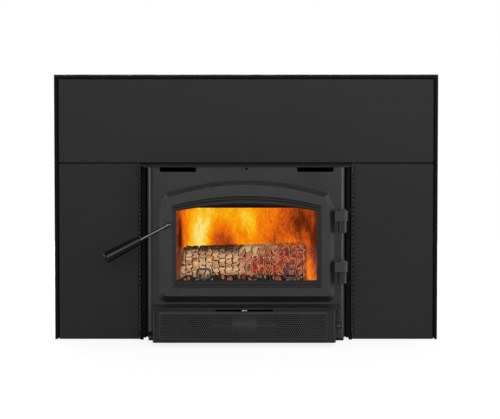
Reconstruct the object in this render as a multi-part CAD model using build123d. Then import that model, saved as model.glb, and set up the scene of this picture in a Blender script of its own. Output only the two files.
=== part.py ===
from build123d import *
import math
import os

# Wood-burning fireplace insert: a welded steel firebox behind a cast, arched
# door, a three-panel surround with a slim trim, and a twin blower in a
# perforated box below the ash shelf.
# Millimetres, +Z up, front towards -Y. The origin is on the hearth, on the
# centre line, in the plane of the fireplace facing that the surround covers.

# ---- surround ----
SURROUND_WIDTH = 1118.0
SURROUND_HEIGHT = 775.0
PANEL_FACE_Y = -25.0          # front of the panels
PANEL_SHEET = 1.5
PANEL_BEND = 2.0              # radius of the folded front edges
TRIM_FACE_Y = -27.0
TRIM_FACE = 9.0               # width of the trim seen from the front
TRIM_BACK = 25.0              # width of the flange against the facing
TRIM_GAP = 3.0                # dark line between trim and panel
INNER_EDGE_X = 314.0          # panel edge beside the body
SEAM_LOW = 516.0              # top of the side panels
SEAM_HIGH = 518.4             # foot of the top panel
STRIP_WIDTH = 6.0
STRIP_FACE_Y = -22.0
STRIP_BACK_Y = 20.0
VENT_SLOT = (3.6, 7.2)        # width and height of one vent hole
VENT_PITCH = 13.62
VENT_COUNT = 35
VENT_FOOT_Z = 17.3
CLIP_HEIGHTS = (165.4, 381.2)
CLIP_HALF = 7.2
CLIP_REACH = (4.0, 10.8)      # from the panel edge towards the body

# ---- body ----
FRONT_X = 1.6                 # door and outlets sit this far right of the centre line
PLATE_HALF = 286.0            # half width of the front plate
PLATE_FRONT_Y = -115.0
PLATE_SHEET = 6.0
PLATE_BACK_Y = PLATE_FRONT_Y + PLATE_SHEET
PLATE_BEND = 18.0             # outer radius of its upright corners
PLATE_RETURN_Y = -60.0
PLATE_FOOT = 15.5
PLATE_TOP = 514.5
TOP_SHEET = 1.5
TOP_HALF = 311.0
TOP_FRONT_Y = -122.0
TOP_CORNER = 32.0             # width of its curved front corners
TOP_CORNER_Y = -32.0
OUTLET_FOOT = 500.3           # warm-air slots under the top plate
OUTLET_LOW = (147.2, 249.6)   # near and far end at the foot and at the top
OUTLET_HIGH = (145.4, 253.4)
PLATE_HOLE = (509.5, 3.6)     # height and radius of the small hole between them
BODY_BACK_Y = 395.0
JACKET_HALF = 303.0
JACKET_SHEET = 2.0
JACKET_FOOT = 9.5
FLANGE_HALF = 291.0           # inner edge of its front flange, a gap beside the plate
SHELL_HALF = 252.0            # welded firebox, outside
SHELL_FOOT = 118.0
SHELL_TOP = 478.0
SHELL_BACK_Y = 345.0
SHELL_SHEET = 6.0
FLUE_Y = 140.0
FLUE_BORE = 76.8              # takes a 6 in liner
FLUE_WALL = 3.0
FLUE_TOP = 560.0
BRICK = 32.0                  # firebrick thickness
BRICK_TOP = 354.0             # side bricks stand 230 high on the floor
BRICK_FRONT_Y = -48.0
BRICK_JOINT_Y = 178.5
BRICK_BACK_Y = 306.0
TUBE_Z = 412.0
TUBE_RADIUS = 11.0
TUBE_WALL = 1.5
TUBE_DEPTHS = (-30.0, 105.0, 240.0)
BOARD = 20.0                  # baffle board
BLANKET = 13.0
BAFFLE_BACK_Y = 300.0
WASH_Y = -88.0                # back of the air-wash channel
WASH_FOOT = 393.5
WASH_MOUTH = 438.0
WASH_TOP = 462.0
WASH_SHEET = 3.0
COVER_HALF = 200.0            # primary-air cover
COVER_DEPTHS = (-106.0, -52.0)
COVER_TOP = 148.0
COVER_SHEET = 3.0
PORT_PITCH = 24.0
PORT_HALF = 30.0              # primary-air port in the firebox floor
PORT_DEPTHS = (-90.0, -60.0)
IRON_BAR = 3.2                # radius of the andirons' bar
IRON_Y = -80.0
IRON_LOOPS = ((-145.6, -100.5), (107.8, 153.3))
IRON_SPAN = (184.0, 216.5)
LOG_LEFT = -200.0
LOG_RIGHT = 176.0
RAIL_INNER = 240.0            # base channels
RAIL_OUTER = 285.0
RAIL_DEPTHS = (-55.0, 380.0)
BASE_SHEET = 4.0
BOLT_X = 265.0
BOLT_DEPTHS = (0.0, 320.0)

# ---- door ----
# outline: half width, foot, foot corner radius, shoulder, arch half width,
# arch foot, arch peak
RIM = (254.5, 122.0, 22.0, 397.0, 236.5, 438.0, 475.2)
FLAT = (240.5, 141.3, 9.0, 399.0, 225.0, 428.8, 464.8)
SIGHT = (218.4, 164.2, 5.0, 403.8, 218.4, 403.8, 433.4)
STEP_OUT = (215.2, 168.6, 4.5, 400.6, 215.2, 400.6, 427.4)
STEP_IN = (212.6, 171.8, 4.0, 398.0, 212.6, 398.0, 423.6)
LEDGE = (209.8, 176.2, 4.0, 395.2, 209.8, 395.2, 419.6)
LIP = (205.8, 182.6, 4.0, 391.0, 205.8, 391.0, 411.4)
GLASS_OPENING = (203.0, 186.4, 4.0, 388.2, 203.0, 388.2, 406.4)
PANE = (211.0, 178.5, 5.0, 396.0, 211.0, 396.0, 417.0)
DOORWAY = (235.0, 150.0, 12.0, 396.0, 235.0, 396.0, 438.0)
DOOR_BACK_Y = -117.0
RIM_FRONT_Y = -120.0
DOOR_FACE_Y = -140.0
STEP_Y = -137.0
LEDGE_Y = -133.0
LIP_Y = -129.4
BOSS_RADIUS = 13.0
BOSS_RISE = 4.0
GLASS_SEAT_Y = -128.0
GLASS_FRONT_Y = -125.0
GLASS_BACK_Y = -120.0
ROPE_NEAR = 6.5               # rope channel, measured in from the rim
ROPE_FAR = 15.5
ROPE_FLOOR_Y = -124.0
HINGE_X = 280.0
HINGE_Y = -131.5
PIN_RADIUS = 5.0
RUNNING_GAP = 0.05
LUG_RADIUS = 15.0
LUG_FEET = (211.5, 359.8)
LUG_HEIGHT = 30.0
LUG_LEFT = 257.0
LUG_ROOT = (251.0, -124.0)    # X and Y where the lug's slanted end meets the rim
LUG_BOSS = (10.5, 3.4)        # radius and height of the boss on top of the lug
LUG_EDGE = 1.2
KNUCKLE_RADIUS = 11.8
KNUCKLE_HEIGHT = 34.0
KNUCKLE_COLLAR = (9.0, 1.0)
KNUCKLE_FOOT = (268.0, 282.0)
HINGE_GAP = 0.4               # between a lug and the knuckle below it
PIN_SEAT = 1.5                # the pin's lower end above the knuckle's foot
PIN_RISE = 2.0

# ---- handle ----
HANDLE_X = -223.4
HANDLE_Z = 350.4
HANDLE_DROP = 26.8            # degrees below level in the photographed position
HANDLE_LEAN = 12.0            # degrees out from the door
SHAFT_RADIUS = 6.0
ROD_RADIUS = 4.5
PIVOT_FRONT_Y = -153.0
GRIP_START = 94.0             # from the pivot, along the rod
GRIP_LENGTH = 118.0
GRIP_NECK = 13.0
GRIP_TIP = 16.2
CAM_TILT = 8.0                # degrees left of upright, just clear of the keeper

# ---- ash shelf, blower box, air control ----
SHELF_TOP = 115.5
SHELF_FOOT = 111.0
SHELF_FRONT_Y = -212.0
BOX_LEFT = -269.5
BOX_RIGHT = 258.8
BOX_FRONT_Y = -203.0
BOX_FOOT = 13.5
BOX_LID = 104.6               # top of the inner lid, under the air slide
BOX_SHEET = 1.5
BOX_BEND = 10.0
WINDOW = (-249.6, 233.6, 25.5, 102.2)
HOLE_ACROSS = 8.0             # coarse perforation, corner to corner
HOLE_PITCH = 19.3
SLIDE_X = -4.5                # air knob as photographed, mid travel
SLIDE_TRAVEL = 76.0
SLIDE_LOW = 107.1
SLIDE_SHEET = 3.0
SLOT_LOW = 106.6
SLOT_HIGH = 110.6
LEVER_HALF = 4.0
LEVER_END_Y = -206.0
KNOB_RADIUS = 2.7
KNOB_HALF = 7.7
KNOB_WAIST = 1.5
KNOB_Y = -211.6
KNOB_Z = 108.2
GLAND_Y = -140.0              # power lead, at the left end of the box
GLAND_Z = 32.0
GLAND_BORE = 3.3
GLAND_THREAD = 6.0

# ---- blower ----
MOTOR_X = -5.0
FAN_Y = -158.0
FAN_Z = 58.0
FAN_SPACING = 125.0           # fan centre from the motor centre
MOTOR_RADIUS = 32.0
MOTOR_HALF = 35.0
FAN_RADIUS = 30.0
FAN_HALF = 25.0
BLADES = 24
FAN_SHAFT_RADIUS = 4.0
SCROLL_RADIUS = 40.0
SCROLL_HALF = 32.0
SCROLL_SHEET = 1.2
DUCT_LOW = 66.0
DUCT_HIGH = 98.0
DUCT_HALF = 30.0

# ---- fan switch ----
SWITCH_X = 269.5
SWITCH_Z = 53.5
SWITCH_CASE = (6.6, 8.1)      # half width and half height
SWITCH_FRAME = (8.3, 10.0)
SWITCH_WELL = 5.4
ROCKER_HALF = 5.1
ROCKER_RADIUS = 7.4
ROCKER_Y = -113.5
ROCKER_TILT = -8.0


def block(x, y, z):
    """A box between two limits along each of X, Y and Z."""
    spans = (x, y, z)
    centre = [(low + high) / 2 for low, high in spans]
    return Pos(*centre) * Box(*[high - low for low, high in spans])


def along_y(face, front, back):
    """A face drawn as (X, Z), thick from depth front to depth back."""
    return extrude(Plane.XZ.offset(-back) * face, amount=back - front)


def along_x(face, left, right):
    """A face drawn as (Y, Z), thick from left to right."""
    return extrude(Plane.YZ.offset(left) * face, amount=right - left)


def along_z(face, low, high):
    """A face drawn as (X, Y), thick from low to high."""
    return extrude(Pos(0, 0, low) * face, amount=high - low)


def disc_y(x, z, radius, front, back):
    """A round bar along Y."""
    return along_y(Pos(x, z) * Circle(radius), front, back)


def disc_x(y, z, radius, left, right):
    """A round bar along X."""
    return along_x(Pos(y, z) * Circle(radius), left, right)


def disc_z(x, y, radius, low, high):
    """An upright round bar."""
    return along_z(Pos(x, y) * Circle(radius), low, high)


def closed_face(points):
    return make_face(Polyline(*points, close=True))


def mirrored(part):
    """The same piece on the other side of the centre line."""
    return mirror(part, about=Plane.YZ)


def group(solids):
    """Separate solids that share one node."""
    return Compound([solid for part in solids for solid in part.solids()])


def door_outline(half, foot, corner, shoulder, arch_half, arch_foot, peak):
    """Flat foot with round corners, upright sides, sloped shoulders and an arch."""
    edges = [
        Polyline((-half, shoulder), (-half, foot), (half, foot), (half, shoulder)),
        ThreePointArc((arch_half, arch_foot), (0, peak), (-arch_half, arch_foot)),
    ]
    if arch_half != half:
        edges.append(Line((half, shoulder), (arch_half, arch_foot)))
        edges.append(Line((-arch_half, arch_foot), (-half, shoulder)))
    face = make_face(Curve() + edges)
    return Pos(FRONT_X, 0) * fillet(face.vertices().sort_by(Axis.Y)[:2], corner)


def taper_y(outer, outer_y, inner, inner_y):
    """Straight-sided solid between two outlines at two depths."""
    sections = [Plane.XZ.offset(-outer_y) * outer, Plane.XZ.offset(-inner_y) * inner]
    return loft([section.face() for section in sections], ruled=True)


# ---------------------------------------------------------------- surround

def panel(x, z):
    """A shallow tray of sheet steel with folded edges."""
    back = -PANEL_SHEET
    tray = block(x, (PANEL_FACE_Y, back), z)
    front = tray.faces().sort_by(Axis.Y)[0]
    tray = fillet(front.edges(), PANEL_BEND)
    inside = [(low + PANEL_SHEET, high - PANEL_SHEET) for low, high in (x, z)]
    return tray - block(inside[0], (PANEL_FACE_Y + PANEL_SHEET, 0), inside[1])


def surround_panels():
    outer = SURROUND_WIDTH / 2 - TRIM_FACE - TRIM_GAP
    top = panel((-outer, outer), (SEAM_HIGH, SURROUND_HEIGHT - TRIM_FACE - TRIM_GAP))
    left = panel((-outer, -INNER_EDGE_X), (0, SEAM_LOW))
    return {
        "surround_top_panel": top,
        "surround_left_panel": left,
        "surround_right_panel": mirrored(left),
    }


def trim_profile(outer, inner_sign):
    """Channel section: face flange, outer web and back flange, as (across, Y)."""
    face_end = outer + inner_sign * TRIM_FACE
    back_end = outer + inner_sign * TRIM_BACK
    web = outer + inner_sign * PANEL_SHEET
    face_back = TRIM_FACE_Y + PANEL_SHEET
    return closed_face([
        (outer, 0), (outer, TRIM_FACE_Y), (face_end, TRIM_FACE_Y), (face_end, face_back),
        (web, face_back), (web, -PANEL_SHEET), (back_end, -PANEL_SHEET), (back_end, 0)])


def trims():
    """Three mitred channels that cover the outer edges of the panels."""
    half = SURROUND_WIDTH / 2
    left = along_z(trim_profile(-half, 1), 0, SURROUND_HEIGHT)
    section = Plane(origin=(-half, 0, 0), x_dir=(0, 0, 1), z_dir=(1, 0, 0))
    top = extrude(section * mirror(trim_profile(SURROUND_HEIGHT, -1), about=Plane.XZ),
                  amount=SURROUND_WIDTH)
    reach = 2 * TRIM_BACK
    corner = closed_face([
        (-half, SURROUND_HEIGHT), (-half + reach, SURROUND_HEIGHT - reach),
        (-half + reach, SURROUND_HEIGHT)])
    corner_end = closed_face([
        (-half, SURROUND_HEIGHT), (-half + reach, SURROUND_HEIGHT - reach),
        (-half, SURROUND_HEIGHT - reach)])
    left -= along_y(corner, TRIM_FACE_Y, 0)
    end = along_y(corner_end, TRIM_FACE_Y, 0)
    return {"trim_top": top - end - mirrored(end), "trim_left": left, "trim_right": mirrored(left)}


def vent_strip():
    """Perforated edge channel between a side panel and the body, with two spring clips."""
    outer, inner = -INNER_EDGE_X, -INNER_EDGE_X + STRIP_WIDTH
    face, back = STRIP_FACE_Y, STRIP_BACK_Y - PANEL_SHEET
    top = PLATE_TOP - 0.2
    strip = block((outer, inner), (face, STRIP_BACK_Y), (0, top))
    strip -= block((outer + PANEL_SHEET, inner - PANEL_SHEET), (face + PANEL_SHEET, back),
                   (-1, top + 1))
    strip -= block((outer - 1, outer + PANEL_SHEET), (-2.0, back), (-1, top + 1))
    strip += block((outer, -TOP_HALF - 0.5), (face, face + PANEL_SHEET), (top, SEAM_LOW))
    middle = (outer + inner) / 2
    width, height = VENT_SLOT
    for index in range(VENT_COUNT):
        z = VENT_FOOT_Z + index * VENT_PITCH
        strip -= block((middle - width / 2, middle + width / 2),
                       (face - 1, face + PANEL_SHEET + 0.5), (z, z + height))
    near, far = CLIP_REACH
    for z in CLIP_HEIGHTS:
        strip += block((outer + near, outer + far), (face - PANEL_SHEET, face),
                       (z - CLIP_HALF, z + CLIP_HALF))
    return strip


def seam_strip():
    """Spacer that joins the side trays, the top tray and the top plate."""
    reach = SURROUND_WIDTH / 2 - TRIM_BACK
    return block((-reach, reach), (-18, -5), (SEAM_LOW, SEAM_HIGH))


def surround_brackets():
    """Folded channels that hold the vent strips to the jacket along their height."""
    near, far = -INNER_EDGE_X + STRIP_WIDTH, -JACKET_HALF
    sheet, back = PANEL_SHEET, STRIP_BACK_Y
    channel = closed_face([
        (near, -2), (near + sheet, -2), (near + sheet, back - sheet), (far - sheet, back - sheet),
        (far - sheet, -2), (far, -2), (far, back), (near, back)])
    left = along_z(channel, JACKET_FOOT, PLATE_TOP - 0.2)
    return group([left, mirrored(left)])


# ---------------------------------------------------------------- body

def folded_front(half, front, back, radius):
    """Plan of a sheet folded back at both ends, seen from above."""
    face = closed_face([(-half, back), (-half, front), (half, front), (half, back)])
    return fillet(face.vertices().sort_by(Axis.Y)[:2], radius)


def front_plate():
    sheet = PLATE_SHEET
    plate = along_z(folded_front(PLATE_HALF, PLATE_FRONT_Y, PLATE_RETURN_Y, PLATE_BEND),
                    PLATE_FOOT, PLATE_TOP)
    plate -= along_z(
        folded_front(PLATE_HALF - sheet, PLATE_BACK_Y, PLATE_RETURN_Y + 1, PLATE_BEND - sheet),
        PLATE_FOOT - 1, PLATE_TOP + 1)
    through = (PLATE_FRONT_Y - 1, PLATE_BACK_Y + 1)
    plate -= along_y(door_outline(*DOORWAY), *through)
    for side in (-1, 1):
        (near, far), (top_near, top_far) = OUTLET_LOW, OUTLET_HIGH
        ends = ((far, OUTLET_FOOT), (near, OUTLET_FOOT), (top_near, PLATE_TOP + 0.5),
                (top_far, PLATE_TOP + 0.5))
        plate -= along_y(closed_face([(FRONT_X + side * x, z) for x, z in ends]), *through)
    plate -= disc_y(FRONT_X, *PLATE_HOLE, *through)
    plate -= block((SLIDE_X - SLIDE_TRAVEL - 21, SLIDE_X + SLIDE_TRAVEL + 21), through,
                   (SLOT_LOW, SLOT_HIGH))
    for side in (-1, 1):
        x = MOTOR_X + side * FAN_SPACING
        plate -= block((x - DUCT_HALF, x + DUCT_HALF), through, (DUCT_LOW + 1.5, DUCT_HIGH - 1.5))
    half_width, half_height = SWITCH_CASE
    return plate - block(
        (SWITCH_X - half_width, SWITCH_X + half_width),
        (PLATE_FRONT_Y - 1, PLATE_FRONT_Y + PLATE_BEND),
        (SWITCH_Z - half_height, SWITCH_Z + half_height))


def top_plate():
    """Lid of the convection jacket, with long curved front corners."""
    half, bend, front = TOP_HALF, TOP_CORNER_Y, TOP_FRONT_Y
    flat = TOP_HALF - TOP_CORNER
    sides = Curve() + [
        Bezier((-half, bend), (-half, front), (-flat, front)),
        Line((-flat, front), (flat, front)),
        Bezier((flat, front), (half, front), (half, bend)),
        Polyline((half, bend), (half, BODY_BACK_Y), (-half, BODY_BACK_Y), (-half, bend)),
    ]
    lid = along_z(make_face(sides), PLATE_TOP, PLATE_TOP + TOP_SHEET)
    lid -= disc_z(0, FLUE_Y, FLUE_BORE + FLUE_WALL, PLATE_TOP - 1, PLATE_TOP + 10)
    front_edge = lid.edges().filter_by(Axis.X).sort_by(Axis.Y)[:1]
    return fillet(front_edge, 0.6)


def jacket():
    side = closed_face([
        (-JACKET_HALF, PLATE_RETURN_Y - JACKET_SHEET),
        (-FLANGE_HALF, PLATE_RETURN_Y - JACKET_SHEET), (-FLANGE_HALF, PLATE_RETURN_Y),
        (-JACKET_HALF + JACKET_SHEET, PLATE_RETURN_Y),
        (-JACKET_HALF + JACKET_SHEET, BODY_BACK_Y), (-JACKET_HALF, BODY_BACK_Y)])
    left = along_z(side, JACKET_FOOT, PLATE_TOP)
    inner = JACKET_HALF - JACKET_SHEET
    back = block((-inner, inner), (BODY_BACK_Y - JACKET_SHEET, BODY_BACK_Y),
                 (JACKET_FOOT, PLATE_TOP))
    return {"jacket_left": left, "jacket_right": mirrored(left), "jacket_back": back}


def primary_port():
    """Hole in the firebox floor and the slide guide for the combustion air."""
    return block((SLIDE_X - PORT_HALF, SLIDE_X + PORT_HALF), PORT_DEPTHS,
                 (SLOT_LOW - 10, SHELL_FOOT + 10))


def firebox_shell():
    outer = block((-SHELL_HALF, SHELL_HALF), (PLATE_BACK_Y, SHELL_BACK_Y), (SHELL_FOOT, SHELL_TOP))
    inner_half = SHELL_HALF - SHELL_SHEET
    shell = outer - block(
        (-inner_half, inner_half), (PLATE_BACK_Y - 1, SHELL_BACK_Y - SHELL_SHEET),
        (SHELL_FOOT + SHELL_SHEET, SHELL_TOP - SHELL_SHEET))
    shell -= disc_z(0, FLUE_Y, FLUE_BORE + 1.2, SHELL_TOP - 10, SHELL_TOP + 1)
    return shell - primary_port()


def flue_collar():
    outer = FLUE_BORE + FLUE_WALL
    lid_top = PLATE_TOP + TOP_SHEET
    collar = disc_z(0, FLUE_Y, outer, SHELL_TOP, FLUE_TOP)
    collar += disc_z(0, FLUE_Y, outer + 14, lid_top, lid_top + 3)
    return collar - disc_z(0, FLUE_Y, FLUE_BORE, SHELL_TOP - 1, FLUE_TOP + 1)


def base_frame():
    """Two folded channels that carry the firebox, tied by two flat bars on the hearth."""
    inner, outer = -RAIL_INNER, -RAIL_OUTER
    y = RAIL_DEPTHS
    rail = block((outer, inner), y, (0, SHELL_FOOT))
    rail -= block((outer - 1, inner - BASE_SHEET), (y[0] - 1, y[1] + 1),
                  (BASE_SHEET, SHELL_FOOT - BASE_SHEET))
    for bolt_y in BOLT_DEPTHS:
        rail -= disc_z(-BOLT_X, bolt_y, 4.2, -1, BASE_SHEET + 1)
    ties = [block((inner, -inner), (mid - 20, mid + 20), (0, BASE_SHEET)) for mid in (0, 350)]
    return rail + mirrored(rail) + ties


def levelling_bolts():
    bolts = []
    for x in (-BOLT_X, BOLT_X):
        for y in BOLT_DEPTHS:
            shank = disc_z(x, y, 4.0, 0, 22)
            head = along_z(Pos(x, y) * RegularPolygon(7.5, 6), 22, 28)
            nut = along_z(Pos(x, y) * RegularPolygon(7.5, 6), BASE_SHEET, BASE_SHEET + 6)
            bolts.append(shank + head + nut)
    return group(bolts)


def floor_bricks():
    """Two rows of four firebricks on the firebox floor."""
    width = 2 * (SHELL_HALF - SHELL_SHEET - BRICK) / 4
    low = SHELL_FOOT + SHELL_SHEET
    bricks = []
    for column in range(4):
        left = -2 * width + column * width
        for front, back in ((BRICK_FRONT_Y, BRICK_JOINT_Y - 0.5),
                            (BRICK_JOINT_Y + 0.5, BRICK_BACK_Y)):
            bricks.append(block((left + 0.5, left + width - 0.5), (front, back),
                                (low, low + BRICK)))
    return group(bricks)


def side_bricks():
    """Three upright firebricks against the left wall."""
    wall = -SHELL_HALF + SHELL_SHEET
    depth = (BRICK_BACK_Y - BRICK_FRONT_Y) / 3
    bricks = []
    for index in range(3):
        front = BRICK_FRONT_Y + index * depth
        bricks.append(block((wall, wall + BRICK), (front, front + depth - 1),
                            (SHELL_FOOT + SHELL_SHEET, BRICK_TOP)))
    return group(bricks)


def back_bricks():
    back = SHELL_BACK_Y - SHELL_SHEET
    width = 2 * (SHELL_HALF - SHELL_SHEET) / 4
    bricks = []
    for index in range(4):
        left = -2 * width + index * width
        bricks.append(block((left + 0.5, left + width - 0.5), (back - BRICK, back),
                            (SHELL_FOOT + SHELL_SHEET, BRICK_TOP)))
    return group(bricks)


def air_tubes():
    """Stainless secondary-air tubes across the top of the firebox."""
    half = SHELL_HALF - SHELL_SHEET
    tubes = []
    for y in TUBE_DEPTHS:
        tube = disc_x(y, TUBE_Z, TUBE_RADIUS, -half, half)
        tubes.append(tube - disc_x(y, TUBE_Z, TUBE_RADIUS - TUBE_WALL, -half - 1, half + 1))
    return group(tubes)


def baffle():
    """Two vermiculite boards on the tubes, and the blanket over them."""
    low = TUBE_Z + TUBE_RADIUS
    half = SHELL_HALF - SHELL_SHEET - 1
    top = low + BOARD
    board = block((-half, -0.5), (-50, BAFFLE_BACK_Y), (low, top))
    blanket = block((-half, half), (-45, BAFFLE_BACK_Y), (top, top + BLANKET))
    return {"baffle_boards": group([board, mirrored(board)]), "baffle_blanket": blanket}


def air_wash_channel():
    """Angle behind the top of the doorway that turns air down over the glass."""
    sheet = WASH_SHEET
    profile = closed_face([
        (PLATE_BACK_Y, WASH_MOUTH), (PLATE_BACK_Y, WASH_TOP), (WASH_Y, WASH_TOP),
        (WASH_Y, WASH_FOOT), (WASH_Y - sheet, WASH_FOOT), (WASH_Y - sheet, WASH_TOP - sheet),
        (PLATE_BACK_Y + sheet, WASH_TOP - sheet), (PLATE_BACK_Y + sheet, WASH_MOUTH)])
    return along_x(profile, -SHELL_HALF + SHELL_SHEET, SHELL_HALF - SHELL_SHEET)


def primary_air_cover():
    """Low channel over the air port, with a row of ports towards the fire."""
    low = SHELL_FOOT + SHELL_SHEET
    front, back = COVER_DEPTHS
    sheet = COVER_SHEET
    cover = block((-COVER_HALF, COVER_HALF), (front, back), (low, COVER_TOP))
    cover -= block((-COVER_HALF - 1, COVER_HALF + 1), (front + sheet, back - sheet),
                   (low - 1, COVER_TOP - sheet))
    for index in range(-3, 4):
        cover -= disc_y(SLIDE_X + PORT_PITCH * index, COVER_TOP - 12, 5, back - 4, back + 1)
    return cover


def andirons():
    """Two bar loops on stems that keep the logs off the glass."""
    bar = IRON_BAR
    low, high = IRON_SPAN
    irons = []
    for left, right in IRON_LOOPS:
        centre = ((left + right) / 2, (low + high) / 2)
        path = Plane.XZ.offset(-IRON_Y) * (Pos(*centre) * RectangleRounded(
            right - left - 2 * bar, high - low - 2 * bar, 8))
        start = Plane(origin=(centre[0], IRON_Y, high - bar), z_dir=(1, 0, 0))
        loop = sweep(start * Circle(bar), path=path.wire())
        irons.append(loop + disc_z(centre[0], IRON_Y, bar, COVER_TOP, low + bar))
    return group(irons)


def fire_log():
    """One split log across the firebox, its left end cut on the slant."""
    section = closed_face([
        (8, 170), (30, 156.5), (92, 156.5), (116, 178), (120, 214), (98, 254), (66, 271),
        (34, 262), (12, 222)])
    log = along_x(section, LOG_LEFT, LOG_RIGHT)
    slant = closed_face([(LOG_LEFT - 1, 150), (LOG_LEFT + 2, 150), (LOG_LEFT + 17, 280),
                         (LOG_LEFT - 1, 280)])
    return log - along_y(slant, 0, 130)


def latch_keeper():
    """Hardened ramp behind the left edge of the doorway, where the cam bears."""
    edge = FRONT_X - DOORWAY[0]
    profile = closed_face([
        (edge - 11, PLATE_BACK_Y), (edge, PLATE_BACK_Y), (edge, PLATE_BACK_Y + 0.8),
        (edge - 4, PLATE_BACK_Y + 2), (edge - 11, PLATE_BACK_Y + 2)])
    return along_z(profile, 352, 388)


def hinge_knuckles():
    """Barrels welded to the front plate below the door's lugs."""
    plate = along_z(folded_front(PLATE_HALF, PLATE_FRONT_Y, PLATE_RETURN_Y, PLATE_BEND),
                    PLATE_FOOT, PLATE_TOP)
    collar_radius, collar_height = KNUCKLE_COLLAR
    knuckles = []
    for lug_foot in LUG_FEET:
        top = lug_foot - HINGE_GAP
        low, barrel_top = top - KNUCKLE_HEIGHT, top - collar_height
        barrel = disc_z(HINGE_X, HINGE_Y, KNUCKLE_RADIUS, low, barrel_top)
        barrel = fillet(barrel.edges().filter_by(GeomType.CIRCLE), PIN_SEAT)
        foot = block(KNUCKLE_FOOT, (HINGE_Y, PLATE_FRONT_Y + PLATE_BEND / 2),
                     (low + 3, barrel_top - 3)) - plate
        collar = disc_z(HINGE_X, HINGE_Y, collar_radius, barrel_top, top)
        bore = disc_z(HINGE_X, HINGE_Y, PIN_RADIUS, low + PIN_SEAT, top + 1)
        knuckles.append(barrel + foot + collar - bore)
    return group(knuckles)


def hinge_pins():
    """Pins fixed in the knuckles, with domed ends above the lugs."""
    pins = []
    for lug_foot in LUG_FEET:
        low = lug_foot - HINGE_GAP - KNUCKLE_HEIGHT + PIN_SEAT
        top = lug_foot + LUG_HEIGHT + LUG_BOSS[1] + PIN_RISE
        pin = disc_z(HINGE_X, HINGE_Y, PIN_RADIUS, low, top)
        pins.append(fillet(pin.edges().sort_by(Axis.Z)[-1:], PIN_RISE))
    return group(pins)


# ---------------------------------------------------------------- door

def door_frame():
    """Cast frame: bevelled rim, raised flat face, stepped sight edge, hinge lugs."""
    rim = door_outline(*RIM)
    frame = along_y(rim, RIM_FRONT_Y, DOOR_BACK_Y)
    frame += taper_y(rim, RIM_FRONT_Y, door_outline(*FLAT), DOOR_FACE_Y)
    frame += disc_y(HANDLE_X, HANDLE_Z, BOSS_RADIUS, DOOR_FACE_Y - BOSS_RISE, DOOR_FACE_Y + 2)
    for foot in LUG_FEET:
        frame += hinge_lug(foot)
    for outer, outer_y, inner, inner_y in (
            (SIGHT, DOOR_FACE_Y - 0.01, STEP_OUT, STEP_Y), (STEP_IN, STEP_Y - 0.01, LEDGE, LEDGE_Y),
            (LIP, LEDGE_Y - 0.01, GLASS_OPENING, LIP_Y)):
        frame -= taper_y(door_outline(*outer), outer_y, door_outline(*inner), inner_y)
    frame -= along_y(door_outline(*GLASS_OPENING), DOOR_FACE_Y, DOOR_BACK_Y + 1)
    frame -= along_y(offset(door_outline(*PANE), 1.5), GLASS_SEAT_Y, DOOR_BACK_Y + 1)
    frame -= rope_ring(ROPE_NEAR, ROPE_FAR, ROPE_FLOOR_Y, DOOR_BACK_Y + 1)
    frame -= disc_y(HANDLE_X, HANDLE_Z, SHAFT_RADIUS + RUNNING_GAP, -150, -110)
    for place, _ in clip_places():
        frame -= clip_screw_bar(place, 2.0, -123, -115)
    return frame


def hinge_lug(foot):
    """Rounded ear of the casting that turns on a hinge pin."""
    front, back = HINGE_Y - LUG_RADIUS, HINGE_Y + LUG_RADIUS - 1
    root_x, root_y = LUG_ROOT
    plan = Pos(HINGE_X, HINGE_Y) * Circle(LUG_RADIUS)
    plan += closed_face([(root_x, root_y), (LUG_LEFT, front), (HINGE_X, front), (HINGE_X, back),
                         (root_x, back)])
    top = foot + LUG_HEIGHT
    boss_radius, boss_height = LUG_BOSS
    lug = along_z(plan, foot, top)
    boss = disc_z(HINGE_X, HINGE_Y, boss_radius, top - 1, top + boss_height)
    boss = fillet(boss.edges().sort_by(Axis.Z)[-1:], LUG_EDGE)
    return lug + boss - disc_z(HINGE_X, HINGE_Y, PIN_RADIUS + RUNNING_GAP, foot - 1,
                               top + boss_height + 1)


def rope_ring(near, far, front, back):
    """Band that follows the rim, between two distances in from it."""
    rim = door_outline(*RIM)
    band = offset(rim, -near, kind=Kind.INTERSECTION) - offset(rim, -far, kind=Kind.INTERSECTION)
    return along_y(band, front, back)


def door_glass():
    return along_y(door_outline(*PANE), GLASS_FRONT_Y, GLASS_BACK_Y)


def glass_gasket():
    """Flat tape between the glass and its seat in the casting."""
    pane = door_outline(*PANE)
    return along_y(pane - offset(pane, -6.0), GLASS_SEAT_Y, GLASS_FRONT_Y)


def clip_places():
    """Each clip's screw place (X, Z) and the direction towards the glass."""
    sides = [((side * 221, z), (-side, 0)) for side in (-1, 1) for z in (230, 300)]
    ends = [((x, 168.5), (0, 1)) for x in (-110, 110)]
    ends += [((x, 422.5), (0, -1)) for x in (-95, 95)]
    return [((FRONT_X + x, z), step) for (x, z), step in sides + ends]


def clip_screw_bar(place, radius, front, back):
    return disc_y(place[0], place[1], radius, front, back)


def glass_clips():
    """Small stepped plates that press the glass against its seat."""
    clips = []
    for (x, z), (step_x, step_z) in clip_places():
        spans = []
        for tail in (-7.5, 10.9):
            spans.append([
                sorted((middle + step * tail, middle + step * 15.0)) if step
                else (middle - 6.0, middle + 6.0)
                for middle, step in ((x, step_x), (z, step_z))])
        (plate_x, plate_z), (leg_x, leg_z) = spans
        clip = block(plate_x, (DOOR_BACK_Y, DOOR_BACK_Y + 1.4), plate_z)
        clip += block(leg_x, (GLASS_BACK_Y, DOOR_BACK_Y), leg_z)
        clips.append(clip - clip_screw_bar((x, z), 2.1, -121, -114))
    return group(clips)


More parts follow.
